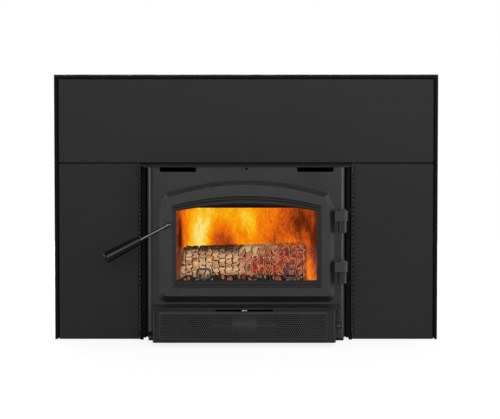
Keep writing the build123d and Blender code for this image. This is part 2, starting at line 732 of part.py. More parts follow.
def clip_screws():
    screws = []
    for place, _ in clip_places():
        head = clip_screw_bar(place, 3.8, DOOR_BACK_Y + 1.4, DOOR_BACK_Y + 3.6)
        screws.append(head + clip_screw_bar(place, 1.95, -122.8, DOOR_BACK_Y + 1.4))
    return group(screws)


def door_gasket():
    """Glass-fibre rope that seals the door against the front plate."""
    return rope_ring(ROPE_NEAR + 0.2, ROPE_FAR - 0.2, ROPE_FLOOR_Y, PLATE_FRONT_Y - 0.4)


# ---------------------------------------------------------------- handle

def handle_direction():
    drop, lean = math.radians(HANDLE_DROP), math.radians(HANDLE_LEAN)
    return Vector(-math.cos(drop) * math.cos(lean), -math.sin(lean),
                  -math.sin(drop) * math.cos(lean))


def handle_plane():
    """Plane at the handle's bend, its normal along the rod."""
    return Plane(origin=(HANDLE_X, PIVOT_FRONT_Y, HANDLE_Z), z_dir=handle_direction())


def handle_rod():
    """Spring-steel rod with the latch shaft at its bend."""
    shaft = disc_y(HANDLE_X, HANDLE_Z, SHAFT_RADIUS, PIVOT_FRONT_Y, -95.0)
    head = Pos(HANDLE_X, PIVOT_FRONT_Y, HANDLE_Z) * Sphere(SHAFT_RADIUS + 0.6)
    rod = extrude(handle_plane() * Circle(ROD_RADIUS), amount=GRIP_START + 10)
    return shaft + head + rod


def handle_grip():
    """Tapered moulded grip, widest at its free end."""
    neck, tip, length = GRIP_NECK, GRIP_TIP, GRIP_LENGTH
    outline = make_face(Curve() + [
        Polyline((0, 0), (neck - 4, 0), (neck, 4), (tip, length - 8)),
        ThreePointArc((tip, length - 8), (tip - 2.6, length - 2.2), (tip - 8, length)),
        Polyline((tip - 8, length), (0, length), (0, 0)),
    ])
    grip = revolve(Plane.XZ * outline, axis=Axis.Z)
    grip -= extrude(Circle(ROD_RADIUS), amount=10)
    start = handle_plane().offset(GRIP_START)
    return start.location * grip


def latch_cam():
    """Lobe behind the front plate that draws the door in when the handle is pressed down."""
    front, back = -106.5, -100.5
    tilt = math.radians(CAM_TILT)
    reach = 17.0
    tip = (HANDLE_X - reach * math.sin(tilt), HANDLE_Z + reach * math.cos(tilt))
    side = (5 * math.cos(tilt), 5 * math.sin(tilt))
    bar = closed_face([
        (HANDLE_X - side[0], HANDLE_Z - side[1]), (HANDLE_X + side[0], HANDLE_Z + side[1]),
        (tip[0] + side[0], tip[1] + side[1]), (tip[0] - side[0], tip[1] - side[1])])
    face = bar + Pos(*tip) * Circle(5) + Pos(HANDLE_X, HANDLE_Z) * Circle(8)
    return along_y(face - Pos(HANDLE_X, HANDLE_Z) * Circle(SHAFT_RADIUS), front, back)


def cam_nut():
    nut = Pos(HANDLE_X, HANDLE_Z) * (RegularPolygon(7.6, 6) - Circle(SHAFT_RADIUS))
    return along_y(nut, -100.5, -95.5)


# ---------------------------------------------------------------- shelf and air control

def ash_shelf():
    """Plate in front of the door, its right end drawn out to a point at the front."""
    plan = closed_face([
        (-270, PLATE_FRONT_Y), (-270, SHELF_FRONT_Y), (271, SHELF_FRONT_Y), (276.5, -205),
        (272, PLATE_FRONT_Y)])
    shelf = along_z(plan, SHELF_FOOT, SHELF_TOP)
    front = shelf.edges().filter_by(Axis.X).sort_by(Axis.Y)[:2]
    return fillet(front, 1.8)


def air_slide_guide():
    """Sleeve under the firebox floor that the damper plate slides in."""
    reach = SLIDE_TRAVEL + 120
    guide = block((SLIDE_X - reach, SLIDE_X + reach), (PLATE_BACK_Y, -35), (103.6, SHELL_FOOT))
    guide -= block((SLIDE_X - reach - 1, SLIDE_X + reach + 1), (PLATE_BACK_Y - 1, -39),
                   (SLOT_LOW, SLOT_HIGH))
    return guide - primary_port()


def air_slide():
    """Damper plate and its lever; half of the air port is open at mid travel."""
    z = (SLIDE_LOW, SLIDE_LOW + SLIDE_SHEET)
    lever, end = LEVER_HALF, LEVER_END_Y
    plan = closed_face([
        (-114, -42), (-114, -100), (-10, -100), (-lever, -112), (-lever, end), (lever, end),
        (lever, -112), (10, -100), (114, -100), (114, -42)])
    slide = along_z(Pos(SLIDE_X, 0) * plan, *z)
    return slide - block((SLIDE_X, SLIDE_X + 108), PORT_DEPTHS, (z[0] - 1, z[1] + 1))


def air_knob():
    """Small cross bar with rounded ends and a waist, on the end of the lever."""
    radius, half, waist = KNOB_RADIUS, KNOB_HALF, KNOB_WAIST
    profile = closed_face([
        (-half, 0), (-half, radius - 1), (-half + 1, radius), (-1.2, radius), (-0.6, waist),
        (0.6, waist), (1.2, radius), (half - 1, radius), (half, radius - 1), (half, 0)])
    bar = Pos(SLIDE_X, KNOB_Y, KNOB_Z) * revolve(profile, axis=Axis.X)
    neck = block((SLIDE_X - radius, SLIDE_X + radius), (KNOB_Y, LEVER_END_Y),
                 (SLIDE_LOW, KNOB_Z + 1.2))
    return bar + neck


# ---------------------------------------------------------------- blower

def box_plan(inset):
    """Plan of the blower box, open at the back."""
    face = closed_face([
        (BOX_LEFT + inset, PLATE_FRONT_Y), (BOX_LEFT + inset, BOX_FRONT_Y + inset),
        (BOX_RIGHT - inset, BOX_FRONT_Y + inset), (BOX_RIGHT - inset, PLATE_FRONT_Y)])
    return fillet(face.vertices().sort_by(Axis.Y)[:2], BOX_BEND - inset)


def blower_box():
    box = along_z(box_plan(0), BOX_FOOT, SHELF_FOOT)
    inner = box_plan(BOX_SHEET)
    box -= along_z(inner, BOX_FOOT + BOX_SHEET, BOX_LID - BOX_SHEET)
    box -= along_z(inner, BOX_LID, SHELF_FOOT + 1)
    left, right, low, high = WINDOW
    front = (BOX_FRONT_Y - 1, BOX_FRONT_Y + BOX_SHEET + 0.5)
    box -= block((left, right), front, (low, high))
    box -= block((SLIDE_X - SLIDE_TRAVEL - 7, SLIDE_X + SLIDE_TRAVEL + 7), front,
                 (BOX_LID, SHELF_FOOT + 1))
    return box - disc_x(GLAND_Y, GLAND_Z, GLAND_THREAD, BOX_LEFT - 1, BOX_LEFT + 3)


def blower_grille():
    """Perforated sheet behind the window of the box, with a staggered hole pattern."""
    left, right, low, high = WINDOW
    y = (BOX_FRONT_Y + BOX_SHEET, BOX_FRONT_Y + BOX_SHEET + 1.2)
    sheet = block((left - 5, right + 5), y, (low - 5, high + 0.8))
    columns = 24
    rows = 7
    middle = ((left + right) / 2, (low + high) / 2)
    holes = []
    for row in range(rows):
        shift = 0.5 * (row % 2)
        for column in range(columns - row % 2):
            x = middle[0] + (column + shift - (columns - 1) / 2) * HOLE_PITCH
            z = middle[1] + (row - (rows - 1) / 2) * HOLE_PITCH / 2
            holes.append(Pos(x, z) * Rectangle(HOLE_ACROSS * 0.707, HOLE_ACROSS * 0.707,
                                               rotation=45))
    return sheet - along_y(Sketch() + holes, y[0] - 1, y[1] + 1)


def blower_motor():
    """Open-frame motor housing with two end bells and a shaft bore."""
    body = disc_x(FAN_Y, FAN_Z, MOTOR_RADIUS, MOTOR_X - 26, MOTOR_X + 26)
    for sign in (-1, 1):
        ends = sorted((MOTOR_X + sign * 26, MOTOR_X + sign * MOTOR_HALF))
        bell = disc_x(FAN_Y, FAN_Z, MOTOR_RADIUS - 6, *ends)
        body += bell
    bore = FAN_SHAFT_RADIUS + RUNNING_GAP
    return body - disc_x(FAN_Y, FAN_Z, bore, MOTOR_X - 40, MOTOR_X + 40)


def motor_bracket():
    """Cradle that stands on the floor of the box."""
    floor = BOX_FOOT + BOX_SHEET
    bracket = block((MOTOR_X - 34, MOTOR_X + 34), (FAN_Y - 34, FAN_Y + 34), (floor, floor + 2))
    for sign in (-1, 1):
        x = sorted((MOTOR_X + sign * 21, MOTOR_X + sign * 24))
        bracket += block(x, (FAN_Y - 34, FAN_Y + 34), (floor + 2, FAN_Z - 4))
    return bracket - disc_x(FAN_Y, FAN_Z, MOTOR_RADIUS, MOTOR_X - 36, MOTOR_X + 36)


def fan_scroll(sign):
    """Sheet-metal volute with side inlets and a flanged outlet on the front plate."""
    centre = MOTOR_X + sign * FAN_SPACING
    sheet = SCROLL_SHEET
    flange_y = (PLATE_FRONT_Y - sheet, PLATE_FRONT_Y)
    hub = Pos(FAN_Y, FAN_Z)
    outer = hub * Circle(SCROLL_RADIUS) + closed_face([
        (FAN_Y, DUCT_LOW), (flange_y[0], DUCT_LOW), (flange_y[0], DUCT_HIGH), (FAN_Y, DUCT_HIGH)])
    inner = hub * Circle(SCROLL_RADIUS - sheet) + closed_face([
        (FAN_Y, DUCT_LOW + sheet), (PLATE_FRONT_Y + 1, DUCT_LOW + sheet),
        (PLATE_FRONT_Y + 1, DUCT_HIGH - sheet), (FAN_Y, DUCT_HIGH - sheet)])
    scroll = along_x(outer, centre - SCROLL_HALF, centre + SCROLL_HALF)
    scroll += block((centre - 38, centre + 38), flange_y, (DUCT_LOW - 6, DUCT_HIGH + 5))
    scroll -= along_x(inner, centre - SCROLL_HALF + sheet, centre + SCROLL_HALF - sheet)
    return scroll - disc_x(FAN_Y, FAN_Z, 24, centre - 40, centre + 40)


def fan_shaft():
    reach = FAN_SPACING + FAN_HALF + 4
    return disc_x(FAN_Y, FAN_Z, FAN_SHAFT_RADIUS, MOTOR_X - reach, MOTOR_X + reach)


def impeller(sign):
    """Squirrel-cage impeller: a hub disc, a far ring and raked blades between them."""
    centre = MOTOR_X + sign * FAN_SPACING
    near = centre - sign * FAN_HALF
    far = centre + sign * FAN_HALF
    hub_disc = sorted((near, near + sign * 2))
    ring_span = sorted((far - sign * 2, far))
    wheel = disc_x(FAN_Y, FAN_Z, FAN_RADIUS, *hub_disc)
    wheel += disc_x(FAN_Y, FAN_Z, 8, *sorted((near, near + sign * 14)))
    wheel += disc_x(FAN_Y, FAN_Z, FAN_RADIUS, *ring_span) - disc_x(
        FAN_Y, FAN_Z, FAN_RADIUS - 7, *ring_span)
    blade = Pos(FAN_RADIUS - 4, 0) * Rectangle(7, 1.0, rotation=35)
    blades = Sketch() + [Rot(0, 0, 360 * index / BLADES) * blade for index in range(BLADES)]
    span = sorted((near + sign * 1, far - sign * 1))
    wheel += along_x(Pos(FAN_Y, FAN_Z) * blades, *span)
    return wheel - disc_x(FAN_Y, FAN_Z, FAN_SHAFT_RADIUS, centre - 40, centre + 40)


def power_inlet():
    """Cable gland on the left end of the blower box."""
    bore = GLAND_BORE
    profile = closed_face([(bore, 0), (9, 0), (9, 4), (7, 6), (5.2, 15), (bore, 15)])
    gland = revolve(Plane.XZ * profile, axis=Axis.Z)
    gland = Plane(origin=(BOX_LEFT, GLAND_Y, GLAND_Z), z_dir=(-1, 0, 0)).location * gland
    gland += disc_x(GLAND_Y, GLAND_Z, GLAND_THREAD, BOX_LEFT, BOX_LEFT + 6)
    return gland - disc_x(GLAND_Y, GLAND_Z, bore, BOX_LEFT - 1, BOX_LEFT + 7)


def switch_box(half_width, half_height, front, back):
    return block((SWITCH_X - half_width, SWITCH_X + half_width), (front, back),
                 (SWITCH_Z - half_height, SWITCH_Z + half_height))


def switch_bezel():
    """Rocker switch body: a thin frame on the plate and a case behind it."""
    well, reach = SWITCH_WELL, ROCKER_RADIUS + 0.4
    bezel = switch_box(*SWITCH_FRAME, PLATE_FRONT_Y - 2, PLATE_FRONT_Y)
    bezel += switch_box(*SWITCH_CASE, PLATE_FRONT_Y, -98)
    bezel -= disc_x(ROCKER_Y, SWITCH_Z, reach, SWITCH_X - well, SWITCH_X + well)
    bezel -= switch_box(well, reach, PLATE_FRONT_Y - 3, ROCKER_Y)
    return bezel - disc_x(ROCKER_Y, SWITCH_Z, 1.3, SWITCH_X - well - 0.6, SWITCH_X + well + 0.6)


def switch_rocker():
    """Paddle with a shallow V face on two stub pivots, tipped to its off side."""
    half = ROCKER_HALF
    front = closed_face([(-9, -9), (-4.2, -9), (-3.4, 0), (-4.2, 9), (-9, 9)])
    face = Circle(ROCKER_RADIUS) - front - closed_face([(3, -9), (9, -9), (9, 9), (3, 9)])
    face = Pos(ROCKER_Y, SWITCH_Z) * (Rot(0, 0, ROCKER_TILT) * face)
    return along_x(face, SWITCH_X - half, SWITCH_X + half) + disc_x(
        ROCKER_Y, SWITCH_Z, 1.25, SWITCH_X - half - 0.8, SWITCH_X + half + 0.8)


def all_nodes():
    left_strip = vent_strip()
    left_bricks = side_bricks()
    nodes = {
        **surround_panels(), **trims(), **jacket(), **baffle(),
        "vent_strip_left": left_strip, "vent_strip_right": mirrored(left_strip),
        "left_bricks": left_bricks,
        "right_bricks": group([mirrored(solid) for solid in left_bricks.solids()]),
        "fan_scroll_left": fan_scroll(-1), "fan_scroll_right": fan_scroll(1),
        "impeller_left": impeller(-1), "impeller_right": impeller(1),
    }
    single = [
        seam_strip, surround_brackets, front_plate, top_plate, firebox_shell, flue_collar,
        base_frame, levelling_bolts, floor_bricks, back_bricks, air_tubes, air_wash_channel,
        primary_air_cover, andirons, fire_log, latch_keeper, hinge_knuckles, hinge_pins,
        door_frame, door_glass, glass_gasket, glass_clips, clip_screws, door_gasket,
        handle_rod, handle_grip, latch_cam, cam_nut, ash_shelf, air_slide_guide, air_slide,
        air_knob, blower_box, blower_grille, blower_motor, motor_bracket, fan_shaft,
        power_inlet, switch_bezel, switch_rocker,
    ]
    nodes.update({function.__name__: function() for function in single})
    return nodes


def main():
    os.makedirs("parts", exist_ok=True)
    for name, shape in all_nodes().items():
        export_step(shape, f"parts/{name}.step")
        print(f"{name:24s} {len(shape.solids())} solid(s) {shape.volume / 1000:10.1f} cm3")


if __name__ == "__main__":
    main()
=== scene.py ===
# %% [markdown]
# # A fireplace insert, finished over its working model
# The working model already holds every piece at its real size, with its hinges, slides and
# shafts. This notebook gives each piece its finish, and builds what a solid modeller draws
# badly: a finely perforated sheet, a charred log, flames, rope seals and a wool blanket.
# Everything is in metres, and each piece is made where it belongs, so nothing is moved later.

import math

import bmesh
import bpy
from mathutils import Matrix, Vector, noise


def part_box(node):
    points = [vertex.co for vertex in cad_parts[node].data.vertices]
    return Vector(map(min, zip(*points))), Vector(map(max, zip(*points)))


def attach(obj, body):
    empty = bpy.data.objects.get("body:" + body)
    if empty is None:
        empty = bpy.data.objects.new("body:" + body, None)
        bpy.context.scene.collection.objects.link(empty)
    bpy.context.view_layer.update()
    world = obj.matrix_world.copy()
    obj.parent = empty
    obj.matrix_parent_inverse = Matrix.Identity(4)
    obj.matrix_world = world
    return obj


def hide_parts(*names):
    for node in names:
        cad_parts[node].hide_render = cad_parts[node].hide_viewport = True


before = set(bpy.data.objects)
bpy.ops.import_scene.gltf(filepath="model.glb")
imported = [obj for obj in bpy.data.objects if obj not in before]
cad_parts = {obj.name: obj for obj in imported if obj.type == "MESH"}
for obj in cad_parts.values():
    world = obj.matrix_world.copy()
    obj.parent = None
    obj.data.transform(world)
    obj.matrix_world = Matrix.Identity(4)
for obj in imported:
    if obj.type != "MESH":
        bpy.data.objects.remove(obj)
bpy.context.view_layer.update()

# %% [markdown]
# ## Camera
# The edges of the surround stay parallel in the photograph, so it was taken from far away
# with a long lens, about 6 degrees above level. A distance of 11 m and a focal length that
# makes one pixel of a 500 pixel picture 2.9 mm wide at the panels gives the same view.

# %% Camera
CAMERA_RISE = math.radians(6)
CAMERA_DISTANCE = 11.0
LOOK_AT = Vector((0.0114, -0.025, 0.3816))
PICTURE_WIDTH = 500
FOCAL_PIXELS = 3768.0

scene = bpy.context.scene
scene.view_settings.view_transform = "Standard"
lens = bpy.data.cameras.new("camera")
lens.sensor_width = 36
lens.lens = lens.sensor_width * FOCAL_PIXELS / PICTURE_WIDTH
lens.clip_end = 100
camera = bpy.data.objects.new("camera", lens)
back = Vector((0, -math.cos(CAMERA_RISE), math.sin(CAMERA_RISE)))
camera.location = LOOK_AT + CAMERA_DISTANCE * back
camera.rotation_euler = (math.pi / 2 - CAMERA_RISE, 0, 0)
scene.collection.objects.link(camera)
scene.camera = camera
print("lens", round(lens.lens, 1), "mm at", tuple(round(x, 3) for x in camera.location))

# %% [markdown]
# ## Short names for shader nodes
# A material is a graph, and written out in full each node takes five lines. `add_node` makes
# one node and fills its inputs in one call: an input that is given a socket is linked to it,
# and one that is given a number or colour is set to it. The helpers after it are the few
# kinds of node that every finish here is built from, and the start of a material and an object.

# %% Node helpers
def add_node(tree, kind, inputs=None, **settings):
    made = tree.nodes.new(kind)
    for name, value in settings.items():
        setattr(made, name, value)
    for name, value in (inputs or {}).items():
        if isinstance(value, bpy.types.NodeSocket):
            tree.links.new(value, made.inputs[name])
        else:
            made.inputs[name].default_value = value
    return made


def maths(tree, operation, *values):
    return add_node(tree, "ShaderNodeMath", dict(enumerate(values)), operation=operation).outputs[0]


def below(tree, value, limit):
    return maths(tree, "LESS_THAN", value, limit)


def above(tree, value, limit):
    return maths(tree, "GREATER_THAN", value, limit)


def times(tree, first, *others):
    """The product of all, which for masks is 1 only where each of them is 1."""
    for other in others:
        first = maths(tree, "MULTIPLY", first, other)
    return first


def mix_value(tree, share, first, second):
    inputs = {0: share, 2: first, 3: second}
    return add_node(tree, "ShaderNodeMix", inputs, data_type="FLOAT").outputs[0]


def mix_colour(tree, share, first, second, how="MIX"):
    inputs = {0: share, 6: first, 7: second}
    made = add_node(tree, "ShaderNodeMix", inputs, data_type="RGBA", blend_type=how)
    return made.outputs[2]


def spread(tree, value, low, high, to_low=0.0, to_high=1.0):
    """Maps low..high smoothly to to_low..to_high and holds it there beyond them."""
    inputs = {"Value": value, "From Min": low, "From Max": high,
              "To Min": to_low, "To Max": to_high}
    return add_node(tree, "ShaderNodeMapRange", inputs, interpolation_type="SMOOTHSTEP").outputs[0]


def cloud(tree, where, size, detail=2.0, roughness=0.5):
    """Soft noise from 0 to 1, whose spots are about size metres across."""
    scale = 1 / size if isinstance(size, (int, float)) else maths(tree, "DIVIDE", 1.0, size)
    inputs = {"Vector": where, "Scale": scale, "Detail": detail, "Roughness": roughness}
    return add_node(tree, "ShaderNodeTexNoise", inputs).outputs["Fac"]


def stretched(tree, where, scale, turn=(0, 0, 0)):
    """Coordinates squeezed or stretched along each axis, which draws noise out to streaks."""
    inputs = {"Vector": where, "Scale": scale, "Rotation": turn}
    return add_node(tree, "ShaderNodeMapping", inputs).outputs[0]


def grey(value):
    return (value, value, value, 1.0)


print("a middle grey is", grey(0.5))

# %% Material and object helpers
def new_material(name):
    material = bpy.data.materials.new(name)
    material.use_nodes = True
    return material, material.node_tree, material.node_tree.nodes["Principled BSDF"]


def set_values(node, **values):
    """Sets a node's own sockets, whose names are written with underscores for spaces."""
    for name, value in values.items():
        node.inputs[name.replace("_", " ")].default_value = value


def object_coordinates(tree):
    return add_node(tree, "ShaderNodeTexCoord").outputs["Object"]


def mesh_object(name, bm):
    mesh = bpy.data.meshes.new(name)
    bm.to_mesh(mesh)
    bm.free()
    made = bpy.data.objects.new(name, mesh)
    scene.collection.objects.link(made)
    return made


print("helpers ready for scene", scene.name)

# %% [markdown]
# ## Studio
# A pale floor and six soft lamps. The large one in front and the one above it light the faces,
# one at each side draws the two bright lines down the rounded corners of the body, a narrow one
# helps the right side, and one behind shows the back and the jacket. The world is plain white
# for what the camera sees. Reflections and what is seen through glass get the white backdrop
# behind the object and a dimmer studio in front of it, as black paint in a real studio does.
# The floor is lit by the lamps, so it keeps the object's shadow, and some plain white on top of
# that makes it pale.

# %% Studio
AMBIENT = 0.07
DIM_FRONT = 0.06
FLOOR_RADIUS = 2.6
FLOOR_GLOW = 0.84
MIRRORED_GLOW = 0.2
MIDDLE = Vector((0, -0.1, 0.35))
LAMPS = [
    # name, place, width, height, how bright it looks beside plain white
    ("front_lamp", (0.2, -5.2, 1.9), 3.6, 2.6, 3.0),
    ("upper_lamp", (0.3, -3.4, 3.6), 2.6, 1.4, 1.5),
    ("left_lamp", (-3.2, -0.7, 0.9), 1.4, 1.8, 5.0),
    ("right_lamp", (3.2, -0.7, 0.9), 1.4, 1.8, 6.0),
    ("right_front_lamp", (2.6, -3.2, 1.3), 0.8, 1.8, 4.0),
    ("back_lamp", (-0.6, 3.6, 0.8), 2.4, 1.2, 9.0)]


def mirrored_rays(tree):
    """1 for what shows in a gloss or through glass, and 1 for what the camera sees."""
    rays = add_node(tree, "ShaderNodeLightPath").outputs
    through = maths(tree, "MAXIMUM", rays["Is Glossy Ray"], rays["Is Transmission Ray"])
    return through, rays["Is Camera Ray"]


def make_world():
    world = bpy.data.worlds.new("studio")
    world.use_nodes = True
    tree = world.node_tree
    way = add_node(tree, "ShaderNodeTexCoord").outputs["Generated"]
    towards_back = add_node(tree, "ShaderNodeSeparateXYZ", {"Vector": way}).outputs["Y"]
    mirrored = spread(tree, towards_back, 0.05, 0.6, DIM_FRONT, 1.0)
    through, seen = mirrored_rays(tree)
    strength = mix_value(tree, through, AMBIENT, mirrored)
    strength = mix_value(tree, seen, strength, 1.0)
    backdrop = tree.nodes["Background"]
    backdrop.inputs["Color"].default_value = grey(1.0)
    tree.links.new(strength, backdrop.inputs["Strength"])
    scene.world = world


def make_floor():
    bm = bmesh.new()
    bmesh.ops.create_circle(bm, cap_ends=True, radius=FLOOR_RADIUS, segments=96)
    floor = mesh_object("floor", bm)
    pale, tree, shader = new_material("pale_floor")
    set_values(shader, Base_Color=grey(0.28), Roughness=0.9, Emission_Color=grey(1.0))
    through, seen = mirrored_rays(tree)
    seen = maths(tree, "MULTIPLY_ADD", through, MIRRORED_GLOW, seen)
    tree.links.new(maths(tree, "MULTIPLY", seen, FLOOR_GLOW), shader.inputs["Emission Strength"])
    floor.data.materials.append(pale)


def softbox(name, place, width, height, radiance):
    """A rectangular lamp, as bright to look at as radiance times white."""
    lamp = bpy.data.lights.new(name, "AREA")
    lamp.shape = "RECTANGLE"
    lamp.size = width
    lamp.size_y = height
    lamp.energy = radiance * math.pi * width * height
    holder = bpy.data.objects.new(name, lamp)
    holder.location = place
    holder.rotation_euler = (MIDDLE - holder.location).to_track_quat("-Z", "Y").to_euler()
    holder.visible_camera = False
    scene.collection.objects.link(holder)
    return lamp.energy


make_world()
make_floor()
for row in LAMPS:
    print(row[0], round(softbox(*row)), "W")

# %% [markdown]
# ## One group for painted and bare surfaces
# Paint, steel and plastic differ in numbers, not in kind: each has large soft blotches, a fine
# speckle, a worn line along its edges, dust on what faces up, and a grain that the light picks
# out. A node group holds all of that once, with a named input for each amount. The worn line
# comes from the Bevel node, which looks a little way round every sharp edge, so it needs no
# extra faces. The group puts out only colour, roughness and normal, and the shader stays in
# the material.

# %% Surface group
def new_group(name, inputs, outputs):
    group = bpy.data.node_groups.new(name, "ShaderNodeTree")
    for socket, kind, value in inputs:
        made = group.interface.new_socket(socket, in_out="INPUT", socket_type=kind)
        made.default_value = value
    for socket, kind in outputs:
        group.interface.new_socket(socket, in_out="OUTPUT", socket_type=kind)
    source = group.nodes.new("NodeGroupInput").outputs
    result = group.nodes.new("NodeGroupOutput")
    return group, source, result


NUMBER, COLOUR, DIRECTION = "NodeSocketFloat", "NodeSocketColor", "NodeSocketVector"


def make_surface_group():
    group, given, result = new_group("surface", [
        ("Colour", COLOUR, grey(0.5)), ("Faded", COLOUR, grey(0.6)), ("Worn", COLOUR, grey(0.7)),
        ("Dust Colour", COLOUR, (0.30, 0.27, 0.24, 1)),
        ("Blotch Size", NUMBER, 0.1), ("Fading", NUMBER, 0.5),
        ("Speckle Size", NUMBER, 0.001), ("Speckle", NUMBER, 0.1),
        ("Wear Width", NUMBER, 0.001), ("Wear", NUMBER, 0.2), ("Dust", NUMBER, 0.1),
        ("Roughness", NUMBER, 0.5), ("Roughness Spread", NUMBER, 0.1),
        ("Grain Size", NUMBER, 0.001), ("Grain Depth", NUMBER, 0.0001),
    ], [("Base Color", COLOUR), ("Roughness", NUMBER), ("Normal", DIRECTION)])
    where = add_node(group, "ShaderNodeTexCoord").outputs
    place = where["Object"]
    blotch = spread(group, cloud(group, place, given["Blotch Size"], 5.0, 0.6), 0.35, 0.65)
    colour = mix_colour(group, times(group, blotch, given["Fading"]), given["Colour"],
                        given["Faded"])
    speckle = cloud(group, place, given["Speckle Size"], 1.0)
    lift = times(group, maths(group, "SUBTRACT", speckle, 0.5), given["Speckle"])
    level = maths(group, "MULTIPLY_ADD", lift, 2.0, 1.0)
    level = add_node(group, "ShaderNodeCombineColor", {0: level, 1: level, 2: level}).outputs[0]
    colour = mix_colour(group, 1.0, colour, level, "MULTIPLY")
    rounded = add_node(group, "ShaderNodeBevel", {"Radius": given["Wear Width"]}, samples=4)
    flat = add_node(group, "ShaderNodeNewGeometry").outputs["Normal"]
    same = add_node(group, "ShaderNodeVectorMath", {0: rounded.outputs[0], 1: flat},
                    operation="DOT_PRODUCT").outputs["Value"]
    edge = spread(group, same, 0.99, 0.85)
    broken = spread(group, cloud(group, place, 0.006, 3.0), 0.3, 0.62)
    wear = times(group, edge, broken, given["Wear"])
    colour = mix_colour(group, wear, colour, given["Worn"])
    up = add_node(group, "ShaderNodeSeparateXYZ", {"Vector": where["Normal"]}).outputs["Z"]
    drift = spread(group, cloud(group, place, 0.02, 4.0), 0.25, 0.75)
    dust = times(group, spread(group, up, 0.3, 0.95), drift, given["Dust"])
    colour = mix_colour(group, dust, colour, given["Dust Colour"])
    group.links.new(colour, result.inputs["Base Color"])
    uneven = maths(group, "SUBTRACT", maths(group, "ADD", blotch, speckle), 1.0)
    rough = maths(group, "MULTIPLY_ADD", uneven, given["Roughness Spread"], given["Roughness"])
    rough = maths(group, "MULTIPLY_ADD", dust, 0.4, rough)
    group.links.new(maths(group, "MINIMUM", rough, 1.0), result.inputs["Roughness"])
    grain = cloud(group, place, given["Grain Size"], 3.0, 0.55)
    bump = add_node(group, "ShaderNodeBump", {"Height": grain, "Distance": given["Grain Depth"]})
    group.links.new(bump.outputs[0], result.inputs["Normal"])
    return group


SURFACE = make_surface_group()
print("group", SURFACE.name, "has", len(SURFACE.nodes), "nodes")

# %% [markdown]
# `finish` makes one material. It places the surface group, gives it that finish's own amounts,
# sets whatever is the same all over the surface on the shader itself, and joins the two.
# `darken` lays a second tone over part of a finish, where a mask made of the piece's own
# coordinates says so. `dress` gives a material to the pieces that wear it.

# %% Finish helpers
def finish(name, **amounts):
    material, tree, shader = new_material(name)
    placed = add_node(tree, "ShaderNodeGroup", node_tree=SURFACE)
    for amount, value in amounts.items():
        owner = placed if amount.replace("_", " ") in placed.inputs else shader
        set_values(owner, **{amount: value})
    for socket in ("Base Color", "Roughness", "Normal"):
        tree.links.new(placed.outputs[socket], shader.inputs[socket])
    return material


def darken(material, mask, colour, roughness):
    """Puts another colour and roughness where the mask, built in the material, is 1."""
    tree = material.node_tree
    sockets = tree.nodes["Principled BSDF"].inputs
    at = add_node(tree, "ShaderNodeSeparateXYZ", {"Vector": object_coordinates(tree)}).outputs
    share = mask(tree, at)
    for socket, mix, value in (("Base Color", mix_colour, grey(colour)),
                               ("Roughness", mix_value, roughness)):
        # The second tone is mostly painted shade, laid over the finish as it is.
        unmasked_tone = sockets[socket].links[0].from_socket
        tree.links.new(mix(tree, share, unmasked_tone, value), sockets[socket])


def dress(material, *nodes):
    for name in nodes:
        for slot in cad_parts[name].material_slots:
            slot.material = material
    print(material.name, "on", len(nodes), "pieces")


print("finishes go on", len(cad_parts), "pieces")

# %% [markdown]
# ## Black finishes of the outside
# Nearly everything that shows is black, and what tells the pieces apart is how they take the
# light. The panels have a smooth satin powder coat, the trim is darker and smoother, the
# welded body has matt stove paint with a fine metallic speckle, and the cast door has the same
# paint over the grain of a sand casting.

# %% Powder-coated panels
panel_coat = finish(
    "panel_powder_coat", Colour=(0.0145, 0.0145, 0.0148, 1), Faded=(0.0175, 0.0175, 0.0178, 1),
    Worn=grey(0.05), Blotch_Size=0.25, Fading=0.6, Speckle_Size=0.0009, Speckle=0.12,
    Wear_Width=0.0012, Wear=0.35, Dust=0.05, Roughness=0.46, Roughness_Spread=0.08,
    Grain_Size=0.0012, Grain_Depth=0.00006, Specular_IOR_Level=0.32)
dress(panel_coat, "surround_top_panel", "surround_left_panel", "surround_right_panel")

# %% Trim and other dark strips
trim_black = finish(
    "trim_black", Colour=grey(0.0035), Faded=grey(0.0045), Worn=grey(0.03), Blotch_Size=0.15,
    Fading=0.6, Speckle_Size=0.0007, Speckle=0.15, Wear_Width=0.0008, Wear=0.3, Dust=0.06,
    Grain_Size=0.0008, Grain_Depth=0.00004, Specular_IOR_Level=0.12)
dress(trim_black, "trim_top", "trim_left", "trim_right", "seam_strip", "surround_brackets")

# %% [markdown]
# The perforated edge strips are bare grey sheet behind black clips. Clip and strip are one
# piece, so a mask tells them apart: whatever stands further forward than the strip's face is
# painted black, and what lies further back gets a painted shade, which lets the row of holes
# show dark.

# %% Edge strips with black clips
strip_grey = finish(
    "strip_grey", Colour=grey(0.075), Faded=grey(0.095), Worn=grey(0.12), Speckle_Size=0.0008,
    Speckle=0.15, Wear_Width=0.0006, Dust=0.05, Roughness=0.45, Grain_Depth=0.00004,
    Specular_IOR_Level=0.3)
STRIP_FRONT_Y, STRIP_BACK_Y = -0.0221, -0.0207


def clips_and_hole_shade(tree, at):
    return maths(tree, "ADD", below(tree, at["Y"], STRIP_FRONT_Y),
                 above(tree, at["Y"], STRIP_BACK_Y))


# Black for the clips in front of the face, and painted shade behind it for the holes.
darken(strip_grey, clips_and_hole_shade, 0.003, 0.6)
dress(strip_grey, "vent_strip_left", "vent_strip_right")

# %% Stove paint on the welded body
stove_paint = finish(
    "stove_paint", Colour=(0.018, 0.018, 0.0184, 1), Faded=(0.024, 0.024, 0.0244, 1),
    Worn=grey(0.07), Blotch_Size=0.12, Fading=0.7, Speckle_Size=0.0008, Speckle=0.3,
    Wear_Width=0.0015, Wear=0.35, Dust=0.04, Roughness=0.36, Roughness_Spread=0.08,
    Grain_Size=0.0007, Grain_Depth=0.00012)
BOX_MIDDLE_X, BOX_HALF = -0.00535, 0.2634
BOX_FLOOR_Z, BOX_LID_Z = 0.0145, 0.1040
BOX_FRONT_Y = -0.1995


